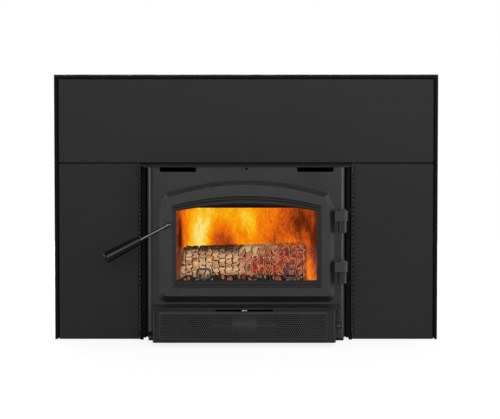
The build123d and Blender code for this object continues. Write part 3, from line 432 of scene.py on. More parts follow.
def shade_inside_box(tree, at):
    """1 on the faces round the room behind the perforated sheet, which get a painted shade."""
    aside = maths(tree, "ABSOLUTE", maths(tree, "SUBTRACT", at["X"], BOX_MIDDLE_X))
    return times(tree, below(tree, aside, BOX_HALF), above(tree, at["Y"], BOX_FRONT_Y),
                 below(tree, at["Z"], BOX_LID_Z), above(tree, at["Z"], BOX_FLOOR_Z))


box_paint = finish(
    "box_paint", Colour=(0.0105, 0.0105, 0.0108, 1), Faded=(0.015, 0.015, 0.0153, 1),
    Worn=grey(0.06), Blotch_Size=0.12, Fading=0.7, Speckle_Size=0.0008, Speckle=0.3,
    Wear_Width=0.0012, Wear=0.35, Dust=0.03, Roughness=0.38, Roughness_Spread=0.08,
    Grain_Size=0.0007, Specular_IOR_Level=0.4)
# Painted shade on the faces behind the perforated sheet, so the holes look dark.
for paint in (stove_paint, box_paint):
    darken(paint, shade_inside_box, 0.002, 0.7)
dress(stove_paint, "front_plate", "top_plate", "hinge_knuckles")
dress(box_paint, "ash_shelf", "blower_box")

# %% Stove paint on the cast door
cast_paint = finish(
    "cast_paint", Colour=(0.027, 0.027, 0.0274, 1), Faded=(0.034, 0.034, 0.0344, 1),
    Worn=grey(0.08), Blotch_Size=0.08, Fading=0.7, Speckle_Size=0.0011, Speckle=0.35,
    Wear_Width=0.0022, Wear=0.45, Dust=0.08, Roughness=0.45, Roughness_Spread=0.08,
    Grain_Size=0.0016, Grain_Depth=0.00035)
DOOR_X = 0.0016
SIGHT_HALF, SIGHT_FOOT_Z, SIGHT_FRONT_Y = 0.2184, 0.1642, -0.1465
SIGHT_PEAK_Z, SIGHT_BEND = 0.4334, -0.62


def shaded_window_steps(tree, at):
    """1 inside the outline where the steps round the window begin, which get a painted shade."""
    across = maths(tree, "ABSOLUTE", maths(tree, "SUBTRACT", at["X"], DOOR_X))
    crown = maths(tree, "MULTIPLY_ADD", maths(tree, "POWER", across, 2.0), SIGHT_BEND,
                  SIGHT_PEAK_Z)
    return times(tree, above(tree, at["Y"], SIGHT_FRONT_Y), below(tree, at["Z"], crown),
                 below(tree, across, SIGHT_HALF), above(tree, at["Z"], SIGHT_FOOT_Z))


# Painted shade in the recessed steps round the window.
darken(cast_paint, shaded_window_steps, 0.012, 0.6)
dress(cast_paint, "door_frame")

# %% Matt black sheet of the jacket
jacket_black = finish(
    "jacket_black", Colour=grey(0.016), Faded=grey(0.024), Worn=grey(0.06), Blotch_Size=0.18,
    Fading=0.8, Speckle=0.2, Wear=0.4, Roughness=0.62, Roughness_Spread=0.12, Grain_Size=0.0015,
    Specular_IOR_Level=0.12)
SLOT_SHADE_BACK_Y = 0.03   # what lies before it is in the dark slots beside the body
# Painted shade: whatever lies in front of that depth is darkened, for the dark slots beside the
# body.
darken(jacket_black, lambda tree, at: below(tree, at["Y"], SLOT_SHADE_BACK_Y), 0.003, 0.62)
dress(jacket_black, "jacket_left", "jacket_right", "jacket_back", "power_inlet",
      "fan_scroll_left", "fan_scroll_right", "motor_bracket", "air_wash_channel")

# %% [markdown]
# ## Bare and plated metals
# Rolled steel plate keeps a blue-grey mill scale, which is darker and rougher than bright
# steel. Zinc-plated parts are pale and a little cloudy. The handle's rod is dark, polished
# spring steel, which shows the lamps as one thin bright line.

# %% Rolled plate
mill_scale = finish(
    "mill_scale", Colour=(0.055, 0.058, 0.064, 1), Faded=(0.10, 0.085, 0.07, 1), Worn=grey(0.32),
    Blotch_Size=0.06, Fading=0.7, Speckle_Size=0.0015, Speckle=0.35, Wear_Width=0.0015, Wear=0.6,
    Dust=0.25, Roughness=0.55, Roughness_Spread=0.25, Grain_Size=0.003, Grain_Depth=0.0002,
    Metallic=0.7)
dress(mill_scale, "base_frame", "firebox_shell", "flue_collar", "air_slide_guide",
      "latch_keeper", "primary_air_cover")

# %% Zinc-plated small parts
zinc = finish(
    "zinc_plate", Colour=(0.42, 0.43, 0.45, 1), Faded=(0.52, 0.50, 0.44, 1), Worn=grey(0.6),
    Blotch_Size=0.02, Fading=0.6, Speckle_Size=0.0006, Speckle=0.15, Wear_Width=0.0006, Wear=0.4,
    Roughness=0.32, Roughness_Spread=0.15, Grain_Size=0.0012, Grain_Depth=0.00003, Metallic=1.0)
dress(zinc, "levelling_bolts", "clip_screws", "cam_nut", "air_slide", "glass_clips")

# %% Dark steel pins and cam
dark_steel = finish(
    "dark_steel", Colour=(0.10, 0.10, 0.105, 1), Faded=(0.14, 0.13, 0.12, 1), Worn=grey(0.5),
    Blotch_Size=0.015, Fading=0.6, Speckle_Size=0.0008, Speckle=0.2, Wear_Width=0.0012, Wear=0.8,
    Dust=0.05, Roughness=0.35, Roughness_Spread=0.15, Grain_Depth=0.00004, Metallic=0.9)
dress(dark_steel, "hinge_pins", "latch_cam", "fan_shaft")

# %% Galvanised sheet of the blower
galvanised = finish(
    "galvanised", Colour=(0.16, 0.17, 0.18, 1), Faded=(0.24, 0.25, 0.26, 1), Worn=grey(0.3),
    Blotch_Size=0.012, Fading=0.9, Speckle_Size=0.0012, Speckle=0.12, Wear_Width=0.0006, Wear=0.3,
    Dust=0.35, Roughness=0.4, Roughness_Spread=0.15, Grain_Size=0.004, Grain_Depth=0.00003,
    Metallic=1.0)
dress(galvanised, "impeller_left", "impeller_right")

# %% Polished rod and air knob
rod_steel = finish(
    "rod_steel", Colour=(0.12, 0.12, 0.122, 1), Faded=(0.15, 0.15, 0.152, 1), Worn=grey(0.3),
    Blotch_Size=0.02, Speckle_Size=0.0008, Wear_Width=0.0008, Wear=0.3, Dust=0.0, Roughness=0.07,
    Roughness_Spread=0.02, Grain_Size=0.0015, Grain_Depth=0.00001, Metallic=1.0)
dress(rod_steel, "handle_rod")
knob_steel = finish(
    "knob_steel", Colour=grey(0.34), Faded=(0.42, 0.41, 0.40, 1), Worn=grey(0.5),
    Blotch_Size=0.004, Fading=0.4, Speckle_Size=0.0005, Wear_Width=0.0004, Wear=0.3, Dust=0.0,
    Roughness=0.25, Grain_Depth=0.00001, Metallic=1.0)
dress(knob_steel, "air_knob")

# %% Andirons, blued by the heat
andiron_steel = finish(
    "andiron_steel", Colour=(0.050, 0.062, 0.072, 1), Faded=(0.075, 0.085, 0.095, 1),
    Worn=grey(0.2), Blotch_Size=0.012, Fading=0.7, Speckle=0.3, Wear=0.3, Dust=0.15,
    Roughness=0.55, Roughness_Spread=0.15, Grain_Size=0.002, Grain_Depth=0.0002, Metallic=0.3)
dress(andiron_steel, "andirons")

# %% Heat-tinted stainless tubes
tube_steel = finish(
    "tube_steel", Colour=(0.30, 0.26, 0.20, 1), Faded=(0.16, 0.14, 0.20, 1), Worn=grey(0.4),
    Blotch_Size=0.05, Fading=0.9, Speckle=0.15, Wear=0.3, Dust=0.3, Roughness=0.35,
    Roughness_Spread=0.15, Grain_Size=0.003, Grain_Depth=0.00005, Metallic=1.0)
dress(tube_steel, "air_tubes")

# %% [markdown]
# ## Plastic and enamel
# The grip is moulded black phenolic with a polished skin, so its roughness is low. The switch
# is plain moulded black. The blower's motor has a grey enamel.

# %% Grip, switch and motor
grip_black = finish(
    "grip_black", Colour=grey(0.004), Faded=grey(0.007), Worn=grey(0.03), Blotch_Size=0.03,
    Speckle_Size=0.0006, Dust=0.0, Roughness=0.14, Roughness_Spread=0.03, Grain_Size=0.002,
    Grain_Depth=0.00001, Specular_IOR_Level=0.3)
dress(grip_black, "handle_grip")
switch_black = finish(
    "switch_black", Colour=grey(0.003), Faded=grey(0.005), Worn=grey(0.02), Blotch_Size=0.01,
    Speckle_Size=0.0005, Speckle=0.2, Wear_Width=0.0005, Wear=0.3, Dust=0.05, Roughness=0.38,
    Grain_Size=0.0006, Grain_Depth=0.00004)
dress(switch_black, "switch_bezel", "switch_rocker")
motor_enamel = finish(
    "motor_enamel", Colour=(0.030, 0.034, 0.038, 1), Faded=(0.045, 0.05, 0.055, 1),
    Worn=grey(0.2), Blotch_Size=0.02, Fading=0.6, Speckle_Size=0.0008, Speckle=0.2, Wear=0.5,
    Dust=0.4, Roughness=0.4, Grain_Size=0.002)
dress(motor_enamel, "blower_motor")

# %% [markdown]
# ## Refractories
# Firebrick is a pale, porous, sandy clay that the smoke blackens in large blotches. Vermiculite
# board is pressed from golden flakes, which are small blotches of a second tone. Both use the
# surface group with a coarse grain.

# %% Firebrick and vermiculite board
firebrick = finish(
    "firebrick", Colour=(0.34, 0.22, 0.13, 1), Faded=(0.045, 0.03, 0.022, 1),
    Worn=(0.5, 0.36, 0.24, 1), Blotch_Size=0.07, Fading=0.9, Speckle_Size=0.002, Speckle=0.45,
    Wear_Width=0.003, Wear=0.7, Dust=0.5, Dust_Colour=(0.42, 0.38, 0.34, 1), Roughness=0.92,
    Roughness_Spread=0.05, Grain_Size=0.004, Grain_Depth=0.0012, Specular_IOR_Level=0.2)
dress(firebrick, "floor_bricks", "left_bricks", "right_bricks", "back_bricks")
flake_board = finish(
    "flake_board", Colour=(0.42, 0.28, 0.13, 1), Faded=(0.30, 0.20, 0.11, 1),
    Worn=(0.5, 0.4, 0.25, 1), Blotch_Size=0.006, Fading=1.0, Speckle_Size=0.003, Speckle=0.6,
    Wear_Width=0.002, Wear=0.6, Dust=0.2, Roughness=0.8, Roughness_Spread=0.2, Grain_Size=0.003,
    Grain_Depth=0.0008, Specular_IOR_Level=0.3)
dress(flake_board, "baffle_boards")

# %% [markdown]
# ## Ceramic glass
# A stove window is clear glass ceramic with a faint amber tone. Glass in a renderer throws a
# dark shadow, because lamps can't be followed through it, so for rays that look for a lamp the
# material is transparent instead. The camera and reflections still meet real glass.

# %% Window
AMBER = (1.0, 0.985, 0.96, 1)


def make_window_glass():
    material, tree, shader = new_material("ceramic_glass")
    set_values(shader, Base_Color=AMBER, Transmission_Weight=1.0, IOR=1.3)
    haze = spread(tree, cloud(tree, object_coordinates(tree), 0.05, 5.0, 0.65), 0.45, 0.8,
                  0.0, 0.03)
    tree.links.new(haze, shader.inputs["Roughness"])
    clear = add_node(tree, "ShaderNodeBsdfTransparent", {"Color": AMBER})
    rays = add_node(tree, "ShaderNodeLightPath").outputs
    either = add_node(tree, "ShaderNodeMixShader", {
        0: rays["Is Shadow Ray"], 1: shader.outputs[0], 2: clear.outputs[0]})
    tree.links.new(either.outputs[0], tree.nodes["Material Output"].inputs["Surface"])
    return material


dress(make_window_glass(), "door_glass")

# %% [markdown]
# ## Turning a bmesh into a finished piece
# Every new piece goes through the same three steps: its bmesh becomes a mesh object at the
# origin, it gets its material, and it rides on the body that carries it. When it stands for a
# piece of the working model, that one is hidden. Numbers that the material reads, one for each
# point, are kept on the mesh as attributes.

# %% Piece helper
def make_piece(name, bm, material, body, stands_for=(), smooth=True):
    piece = mesh_object(name, bm)
    mesh = piece.data
    mesh.polygons.foreach_set("use_smooth", [smooth] * len(mesh.polygons))
    mesh.materials.append(material)
    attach(piece, body)
    if stands_for:
        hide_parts(*stands_for)
    print(name, "has", len(mesh.polygons), "faces")
    return piece


def add_marks(piece, marks):
    for name, values in marks.items():
        piece.data.attributes.new(name, "FLOAT", "POINT").data.foreach_set("value", values)


def attribute(tree, name):
    return add_node(tree, "ShaderNodeAttribute", attribute_name=name).outputs["Fac"]


def smooth_step(low, high, value):
    t = min(1.0, max(0.0, (value - low) / (high - low)))
    return t * t * (3 - 2 * t)


def block(bm, middle, size):
    """Adds a cuboid with the given middle and size to the bmesh."""
    bmesh.ops.create_cube(bm, size=1.0, matrix=Matrix.Translation(middle)
                          @ Matrix.Diagonal((*size, 1)))


print("piece helpers ready")

# %% [markdown]
# ## Perforated front of the blower box
# The real sheet has about a thousand small holes in staggered rows. Cutting them one by
# one would be slow, so the holes come from a grid. Turned by 45 degrees and stretched in height,
# its faces become lozenges, and each is split into two equal triangles. The corners of the
# triangles are now the middles of the holes: bevelling a corner turns it into a hexagon, whose
# face is deleted. Corners that the sheet's outline has cut into keep their metal, which leaves
# the plain border. Then the sheet gets its thickness.

# %% Perforated sheet
HOLE_PITCH = 0.00635
HOLE_RADIUS = 0.0027
NEARLY = 1e-5


def perforated_sheet():
    low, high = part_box("blower_grille")
    middle, size = (low + high) / 2, high - low
    step = HOLE_PITCH / math.sqrt(2)
    count = 2 * math.ceil((size.x + size.z) / 2 / step)
    bm = bmesh.new()
    stand = Matrix.Translation((middle.x, low.y, middle.z)) @ Matrix.Diagonal(
        (1, 1, math.sqrt(3), 1))
    bmesh.ops.create_grid(bm, x_segments=count, y_segments=count, size=count * step / 2,
                          matrix=stand @ Matrix.Rotation(math.pi / 2, 4, "X")
                          @ Matrix.Rotation(math.pi / 4, 4, "Z"))
    for corner, outward in ((low, -1), (high, 1)):
        for axis in (Vector((outward, 0, 0)), Vector((0, 0, outward))):
            bmesh.ops.bisect_plane(bm, geom=bm.verts[:] + bm.edges[:] + bm.faces[:],
                                   plane_co=corner, plane_no=axis, clear_outer=True)
    bmesh.ops.triangulate(bm, faces=bm.faces[:], quad_method="SHORT_EDGE")
    inner = [vert for vert in bm.verts if not vert.is_boundary and all(
        abs(edge.calc_length() - HOLE_PITCH) < NEARLY for edge in vert.link_edges)]
    holes = bmesh.ops.bevel(bm, geom=inner, offset=HOLE_RADIUS, segments=1, profile=0.5,
                            affect="VERTICES", material=-1)["faces"]
    bmesh.ops.delete(bm, geom=holes, context="FACES")
    bmesh.ops.solidify(bm, geom=bm.faces[:], thickness=-size.y)
    return bm


grille_black = finish(
    "grille_black", Colour=grey(0.042), Faded=grey(0.05), Worn=grey(0.1), Blotch_Size=0.08,
    Fading=0.6, Speckle_Size=0.0008, Speckle=0.15, Wear_Width=0.0003, Dust=0.0, Roughness=0.4,
    Grain_Depth=0.00005)
make_piece("perforated_front", perforated_sheet(), grille_black, "root",
           ["blower_grille"], smooth=False)

# %% [markdown]
# ## Rope seals
# The door closes on a knitted glass rope, and the window lies on a flat glass tape. Both follow
# the outline of the casting, so one function walks round that outline, and another one sweeps a
# section along it: a grid is rolled into a tube, round for the rope and nearly square for the
# tape. Two crossing sets of ridges on the tube are the knit.

# %% Outline of the door
# half width, foot, corner, shoulder, arch half width, arch foot, peak
RIM = (0.2545, 0.122, 0.022, 0.397, 0.2365, 0.438, 0.4752)
PANE = (0.211, 0.1785, 0.005, 0.396, 0.211, 0.396, 0.417)
CORNER_STEPS, ARCH_STEPS = 8, 30


def door_line(half, foot, corner, shoulder, arch_half, arch_foot, peak):
    """Corner points and arcs of the outline, from the foot round by the right side."""
    rise = peak - arch_foot
    radius = (arch_half ** 2 + rise ** 2) / (2 * rise)
    reach = math.asin(arch_half / radius)
    turns = [math.pi / 2 * step / CORNER_STEPS for step in range(CORNER_STEPS + 1)]
    right = [(half - corner + corner * math.sin(t), foot + corner - corner * math.cos(t))
             for t in turns] + [(half, shoulder)]
    sweep = [reach * (1 - step / ARCH_STEPS) for step in range(2 * ARCH_STEPS + 1)]
    arch = [(radius * math.sin(t), peak - radius + radius * math.cos(t)) for t in sweep]
    left = [(-x, z) for x, z in reversed(right)]
    return [Vector((DOOR_X + x, z)) for x, z in right + arch + left]


def walk(corners, count):
    """Evenly spaced points round a closed line, each with its direction inwards."""
    ends = corners[1:] + corners[:1]
    lengths = [(b - a).length for a, b in zip(corners, ends)]
    step = sum(lengths) / count
    places, index, start = [], 0, 0.0
    for number in range(count):
        at = number * step
        while at > start + lengths[index]:
            start += lengths[index]
            index += 1
        a, b = corners[index], ends[index]
        places.append(a.lerp(b, (at - start) / max(lengths[index], 1e-9)))
    steps = [places[(i + 2) % count] - places[i - 2] for i in range(count)]
    return [(place, Vector((-way.y, way.x)).normalized()) for place, way in zip(places, steps)]


print(len(door_line(*RIM)), "points round the rim of the door")

# %% Seals round the door and the window
RINGS, SIDES = 900, 14
STITCH, RIDGES, KNIT_DEPTH = 0.9, 3, 0.06


def seal(name, outline, inset, middle_y, half_wide, half_deep, square, stands_for):
    """Sweeps an oval along the outline, or with square well below 1 nearly a rectangle."""
    line = walk(door_line(*outline), RINGS)
    bm = bmesh.new()
    bmesh.ops.create_grid(bm, x_segments=RINGS, y_segments=SIDES, size=0.5)
    for vert in bm.verts:
        ring, side = round((vert.co.x + 0.5) * RINGS), (vert.co.y + 0.5) * SIDES
        (place, inward), turn = line[ring % RINGS], 2 * math.pi * round(side) / SIDES
        knit = (abs(math.sin(ring * STITCH + RIDGES * turn))
                + abs(math.sin(ring * STITCH - RIDGES * turn)))
        swell = 1 + KNIT_DEPTH * (knit - 1)
        wide, deep = [swell * half * math.copysign(abs(part) ** square, part)
                      for half, part in ((half_wide, math.cos(turn)), (half_deep, math.sin(turn)))]
        spot = place + inward * (inset + wide)
        vert.co = Vector((spot.x, middle_y + deep, spot.y))
    bmesh.ops.remove_doubles(bm, verts=bm.verts[:], dist=1e-6)
    bmesh.ops.recalc_face_normals(bm, faces=bm.faces[:])
    make_piece(name, bm, glass_rope, "door", [stands_for])


glass_rope = finish(
    "glass_rope", Colour=grey(0.10), Faded=grey(0.045), Worn=grey(0.4), Blotch_Size=0.03,
    Fading=0.9, Speckle_Size=0.0009, Speckle=0.7, Wear=0.3, Roughness=0.95, Roughness_Spread=0.05,
    Grain_Size=0.0007, Grain_Depth=0.0003, Specular_IOR_Level=0.2)
seal("rope_gasket", RIM, 0.011, -0.1198, 0.0041, 0.0041, 1.0, "door_gasket")
seal("glass_tape", PANE, 0.003, -0.1265, 0.0028, 0.0014, 0.4, "glass_gasket")

# %% [markdown]
# ## Ceramic wool over the baffle
# The blanket is a mat of white fibre that lies on the baffle boards. It starts as a slab of
# even faces, its edges are drawn in and its top is quilted by slow noise, and the fibres are
# in the material.

# %% Wool blanket
SOFT_EDGE = 0.006


def wool_mat():
    low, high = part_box("baffle_blanket")
    middle = (low + high) / 2
    bm = bmesh.new()
    block(bm, middle, high - low)
    flat = [edge for edge in bm.edges if abs(edge.verts[0].co.z - edge.verts[1].co.z) < NEARLY]
    bmesh.ops.subdivide_edges(bm, edges=flat, cuts=70, use_grid_fill=True)
    for vert in bm.verts:
        edge = min(vert.co.x - low.x, high.x - vert.co.x, vert.co.y - low.y, high.y - vert.co.y)
        worn = 0.004 * noise.noise(vert.co * 18) + 0.0015 * noise.noise(vert.co * 70)
        if vert.co.z > middle.z:
            vert.co.z -= 0.003 + 0.004 * math.exp(-edge / SOFT_EDGE) - 0.6 * worn
    bmesh.ops.recalc_face_normals(bm, faces=bm.faces[:])
    return bm


ceramic_wool = finish(
    "ceramic_wool", Colour=(0.62, 0.60, 0.56, 1), Faded=(0.42, 0.36, 0.30, 1), Worn=grey(0.75),
    Blotch_Size=0.05, Fading=0.7, Speckle_Size=0.0015, Speckle=0.35, Wear_Width=0.002, Dust=0.3,
    Roughness=1.0, Roughness_Spread=0.0, Grain_Size=0.0012, Grain_Depth=0.0008,
    Specular_IOR_Level=0.1)
make_piece("wool_blanket", wool_mat(), ceramic_wool, "root", ["baffle_blanket"])

# %% [markdown]
# ## Strips behind the side gaps
# A slim gap stays open on each side between the front plate and the jacket. Low down one could
# look through it to the floor, so a narrow strip of black sheet stands behind it as painted
# shade, so that the gap shows dark.

# %% Gap strips
SHADE_STRIPS = [
    # middle on the right side, size
    ((0.293, -0.048, 0.05), (0.0155, 0.0012, 0.08)),
    ((0.3045, -0.044, 0.012), (0.0105, 0.0012, 0.022))]


# These strips are a dark sheet that stands for shade behind the gaps.
def shade_strip(name, side):
    bm = bmesh.new()
    for (across, back, up), size in SHADE_STRIPS:
        block(bm, (side * across, back, up), size)
    make_piece(name, bm, jacket_black, "root", smooth=False)


shade_strip("shade_strip_left", -1)
shade_strip("shade_strip_right", 1)

# %% [markdown]
# ## Fire: how it is put together
# A photograph of a fire is a wall of light with dark drifts of smoke in it, seen through glass.
# A smoke simulation would take minutes and would look different each time. Here the flames
# are thin sheets that give off light. Each of their points holds two numbers: its warmth, and
# how much it covers of what lies behind it. A colour ramp turns warmth into the run from dark
# brown smoke over orange to pale yellow. The large shapes, where the fire is bright or smoky,
# are given one by one as soft spots. Noise that is drawn out upward and bent by a second noise
# gives them the fine threads of real flames, and three more noises give thin slanting streaks.

# %% Colours as a screen shows them
def screen(red, green, blue):
    """A colour given in screen levels from 0 to 255, as the shader needs it."""
    levels = [level / 255 for level in (red, green, blue)]
    linear = [x / 12.92 if x <= 0.04045 else ((x + 0.055) / 1.055) ** 2.4 for x in levels]
    return (*linear, 1.0)


def ramp(tree, value, stops):
    made = add_node(tree, "ShaderNodeValToRGB", {"Fac": value})
    points = made.color_ramp.elements
    while len(points) < len(stops):
        points.new(0.5)
    for point, (place, colour) in zip(points, stops):
        point.position = place
        point.color = colour
    return made.outputs["Color"]


HEAT_COLOURS = [
    (0.0, screen(16, 5, 1)), (0.12, screen(58, 20, 4)), (0.28, screen(112, 42, 8)),
    (0.42, screen(182, 72, 16)), (0.55, screen(238, 106, 10)), (0.68, screen(250, 142, 4)),
    (0.80, screen(252, 182, 4)), (0.90, screen(252, 208, 60)), (1.0, screen(254, 232, 140))]
print(len(HEAT_COLOURS), "colours from smoke to the hottest flame")

# %% Flame group and material
BEND_SCALE, BEND_REACH = 9.0, 0.16
STREAK_TURNS = (-0.75, 0.2, 0.6)
STREAK_SIZE, STREAK_WIDTH, STREAK_SHARE = 0.012, 0.018, 0.35


def make_flame_group():
    group, given, result = new_group("flame", [
        ("Heat", NUMBER, 0.5), ("Cover", NUMBER, 1.0), ("Threads", NUMBER, 0.1),
        ("Thread Width", NUMBER, 0.008)],
        [("Emission Color", COLOUR), ("Alpha", NUMBER)])
    place = object_coordinates(group)
    bend = add_node(group, "ShaderNodeTexNoise", {"Vector": place, "Scale": BEND_SCALE})
    away = add_node(group, "ShaderNodeVectorMath", {0: bend.outputs["Color"], 1: (0.5, 0.5, 0.5)},
                    operation="SUBTRACT").outputs[0]
    away = add_node(group, "ShaderNodeVectorMath", {0: away, "Scale": BEND_REACH},
                    operation="SCALE")
    bent = add_node(group, "ShaderNodeVectorMath", {0: place, 1: away.outputs[0]}).outputs[0]
    drawn = stretched(group, bent, (1.0, 1.0, 0.14), (0, 0.25, 0))
    fine = cloud(group, drawn, given["Thread Width"], 4.0, 0.6)
    coarse = cloud(group, stretched(group, bent, (1.0, 1.0, 0.3), (0, -0.3, 0)), 0.03, 3.0, 0.55)
    threads = maths(group, "SUBTRACT", maths(group, "ADD", fine, coarse), 1.0)
    heat = maths(group, "MULTIPLY_ADD", threads, given["Threads"], given["Heat"])
    share = times(group, given["Threads"], STREAK_SHARE)
    for turn in STREAK_TURNS:
        slant = stretched(group, bent, (1.0, 1.0, 0.10), (0, turn, 0))
        streak = cloud(group, slant, STREAK_SIZE)
        line = maths(group, "ABSOLUTE", maths(group, "SUBTRACT", streak, 0.5))
        line = spread(group, line, STREAK_WIDTH, 0.0)
        heat = maths(group, "MULTIPLY_ADD", line, share, heat)
    group.links.new(ramp(group, heat, HEAT_COLOURS), result.inputs["Emission Color"])
    thin = maths(group, "MULTIPLY_ADD", threads, 0.8, given["Cover"])
    group.links.new(times(group, spread(group, thin, 0.15, 0.75), given["Cover"]),
                    result.inputs["Alpha"])
    return group


FLAME = make_flame_group()


def flame_material(name, threads, width, see_through):
    material, tree, shader = new_material(name)
    set_values(shader, Base_Color=grey(0.0), Specular_IOR_Level=0.0, Roughness=1.0,
               Emission_Strength=1.0)
    placed = add_node(tree, "ShaderNodeGroup", node_tree=FLAME)
    set_values(placed, Threads=threads, Thread_Width=width)
    tree.links.new(attribute(tree, "warmth"), placed.inputs["Heat"])
    tree.links.new(attribute(tree, "cover"), placed.inputs["Cover"])
    tree.links.new(placed.outputs["Emission Color"], shader.inputs["Emission Color"])
    if see_through:
        tree.links.new(placed.outputs["Alpha"], shader.inputs["Alpha"])
    return material


print("flame group has", len(FLAME.nodes), "nodes")

# %% [markdown]
# ## Wall of flames
# One sheet behind the log, bent forward at both ends like the fire that licks along the side
# bricks. The list below holds the soft spots: where each is across the firebox and above the
# hearth, how wide and how high it is, which way it leans, its heat, and how much of what is
# behind it it hides. Later spots lie over earlier ones.

# %% Flame wall
WALL_HALF = 0.2105
WALL_FOOT, WALL_TOP = 0.1575, 0.3985
WALL_BACK_Y, WALL_BOW = 0.225, 0.13
PLAIN_HEAT = 0.45
FLAME_SPOTS = [
    # x, z, half width, half height, lean, heat, share
    (-0.06, 0.33, 0.1, 0.09, 0, 0.66, 0.9), (0, 0.3, 0.06, 0.09, 0.1, 0.66, 0.8),
    (0.075, 0.29, 0.05, 0.12, 0.1, 0.58, 0.9), (0.13, 0.3, 0.05, 0.12, 0, 0.42, 0.9),
    (0.18, 0.3, 0.045, 0.12, 0, 0.34, 0.9), (-0.188, 0.28, 0.028, 0.12, 0, 0.33, 0.9),
    (-0.203, 0.25, 0.013, 0.14, 0, 0.17, 0.9), (-0.18, 0.35, 0.014, 0.03, 0, 0.5, 0.8),
    (-0.137, 0.3, 0.045, 0.14, 0.03, 0.88, 1.0), (-0.139, 0.285, 0.024, 0.09, 0.04, 0.97, 0.8),
    (-0.11, 0.352, 0.05, 0.022, 0, 0.8, 0.7), (-0.045, 0.352, 0.05, 0.03, 0, 0.72, 0.6),
    (-0.07, 0.252, 0.034, 0.04, -0.3, 0.34, 0.95), (-0.045, 0.235, 0.02, 0.03, -0.3, 0.3, 0.8),
    (-0.08, 0.3, 0.02, 0.022, -0.4, 0.5, 0.5), (0.006, 0.325, 0.024, 0.042, -0.15, 0.86, 0.9),
    (0.014, 0.292, 0.012, 0.03, 0.1, 0.78, 0.6), (-0.012, 0.268, 0.018, 0.022, 0.1, 0.6, 0.7),
    (-0.004, 0.243, 0.026, 0.007, 0, 0.84, 0.9), (-0.03, 0.247, 0.01, 0.006, 0, 0.8, 0.8),
    (0.045, 0.345, 0.034, 0.022, 0, 0.68, 0.6), (0.052, 0.295, 0.018, 0.02, 0, 0.56, 0.6),
    (0.082, 0.262, 0.024, 0.026, 0.3, 0.37, 0.9), (0.076, 0.34, 0.016, 0.04, 0.15, 0.62, 0.7),
    (0.118, 0.345, 0.022, 0.03, 0, 0.46, 0.7), (0.12, 0.3, 0.022, 0.018, 0, 0.4, 0.6),
    (0.128, 0.262, 0.03, 0.018, -0.3, 0.52, 0.8), (0.162, 0.325, 0.028, 0.034, 0, 0.2, 0.9),
    (0.15, 0.352, 0.026, 0.018, 0, 0.3, 0.7), (0.182, 0.262, 0.016, 0.014, 0, 0.52, 0.8),
    (0.168, 0.29, 0.014, 0.014, 0, 0.42, 0.5), (0.205, 0.29, 0.014, 0.09, 0, 0.17, 0.9),
    (0.196, 0.33, 0.005, 0.03, 0, 0.44, 0.6), (0.19, 0.195, 0.012, 0.04, -0.2, 0.6, 0.7),
    (-0.198, 0.285, 0.0035, 0.045, 0.02, 0.02, 1.0),
    (-0.134, 0.3, 0.0022, 0.024, -0.25, 1.05, 0.7)]


def soft_spot(x, z, spot):
    """How strongly a spot hides what lies under it at the point, and its heat."""
    middle, height, wide, high, lean, heat, share = spot
    across = (x - middle - lean * (z - height)) / wide
    upward = (z - height) / high
    return share * math.exp(-(across * across + upward * upward) ** 1.25), heat


def wall_heat(x, z):
    sway = noise.noise(Vector((x * 11, 3.0, z * 5)))
    x, z = x + 0.007 * sway, z + 0.008 * noise.noise(Vector((x * 14, 9.0, z * 9)))
    heat = PLAIN_HEAT
    for spot in FLAME_SPOTS:
        share, level = soft_spot(x, z, spot)
        heat += (level - heat) * share
    curl = noise.fractal(Vector((x * 34 + 14 * sway, 1.7, z * 9)), 0.9, 2.1, 5)
    return heat + 0.05 * curl


def flame_sheet(name, columns, rows, place, heat_at, cover_at, material):
    bm = bmesh.new()
    bmesh.ops.create_grid(bm, x_segments=columns, y_segments=rows, size=0.5)
    heats, covers = [], []
    for vert in bm.verts:
        u, v = vert.co.x + 0.5, vert.co.y + 0.5
        vert.co = place(u, v)
        heats.append(heat_at(v, vert.co))
        covers.append(cover_at(u, v))
    piece = make_piece(name, bm, material, "root")
    add_marks(piece, {"warmth": heats, "cover": covers})


def on_wall(u, v):
    x = WALL_HALF * (2 * u - 1)
    bow = abs(2 * u - 1) ** 3
    return Vector((x, WALL_BACK_Y - WALL_BOW * bow, WALL_FOOT + v * (WALL_TOP - WALL_FOOT)))


flame_sheet("flame_wall", 210, 120, on_wall, lambda v, at: wall_heat(at.x, at.z),
            lambda u, v: 1.0, flame_material("flames", 0.26, 0.006, False))

# %% [markdown]
# ## Tongues of flame
# Narrow curved sheets in front of the wall. Their edges fade out through the shader's alpha, so
# that the fire has depth when it is seen from the side.

# %% Flame tongues
def tongue(name, foot, height, width, lean, twist, heat):
    foot = Vector(foot)

    def place(u, v):
        side = (u - 0.5) * width * (1 - 0.8 * v ** 1.5)
        wave = 0.012 * math.sin(5 * v + 7 * foot.x / 0.1)
        turn = twist * (v - 0.3)
        return foot + Vector((side * math.cos(turn) + lean * v + wave * v,
                              side * math.sin(turn) + 0.2 * wave, height * v))

    def heat_at(v, at):
        return heat - 0.25 * v + 0.1 * noise.noise(at * 40)

    def cover_at(u, v):
        return max(0.0, (1 - abs(2 * u - 1) ** 2) * min(1, 6 * v) * (1 - v) ** 0.7)

    flame_sheet(name, 14, 40, place, heat_at, cover_at, TONGUE_FIRE)


TONGUE_FIRE = flame_material("flame_tongues", 0.2, 0.004, True)
TONGUES = [
    # name, foot, height, width, lean, twist, heat
    ("tongue_corner", (0.189, 0.030, 0.158), 0.075, 0.026, -0.012, 0.5, 0.74),
    ("tongue_corner_low", (0.199, 0.000, 0.157), 0.050, 0.020, -0.006, 0.3, 0.66),
    ("tongue_left", (-0.165, 0.150, 0.235), 0.120, 0.045, 0.012, 0.6, 0.95),
    ("tongue_centre", (-0.020, 0.150, 0.235), 0.090, 0.040, 0.015, -0.5, 0.72),
    ("tongue_right", (0.085, 0.150, 0.235), 0.085, 0.045, 0.020, 0.4, 0.60)]
for row in TONGUES:
    tongue(*row)

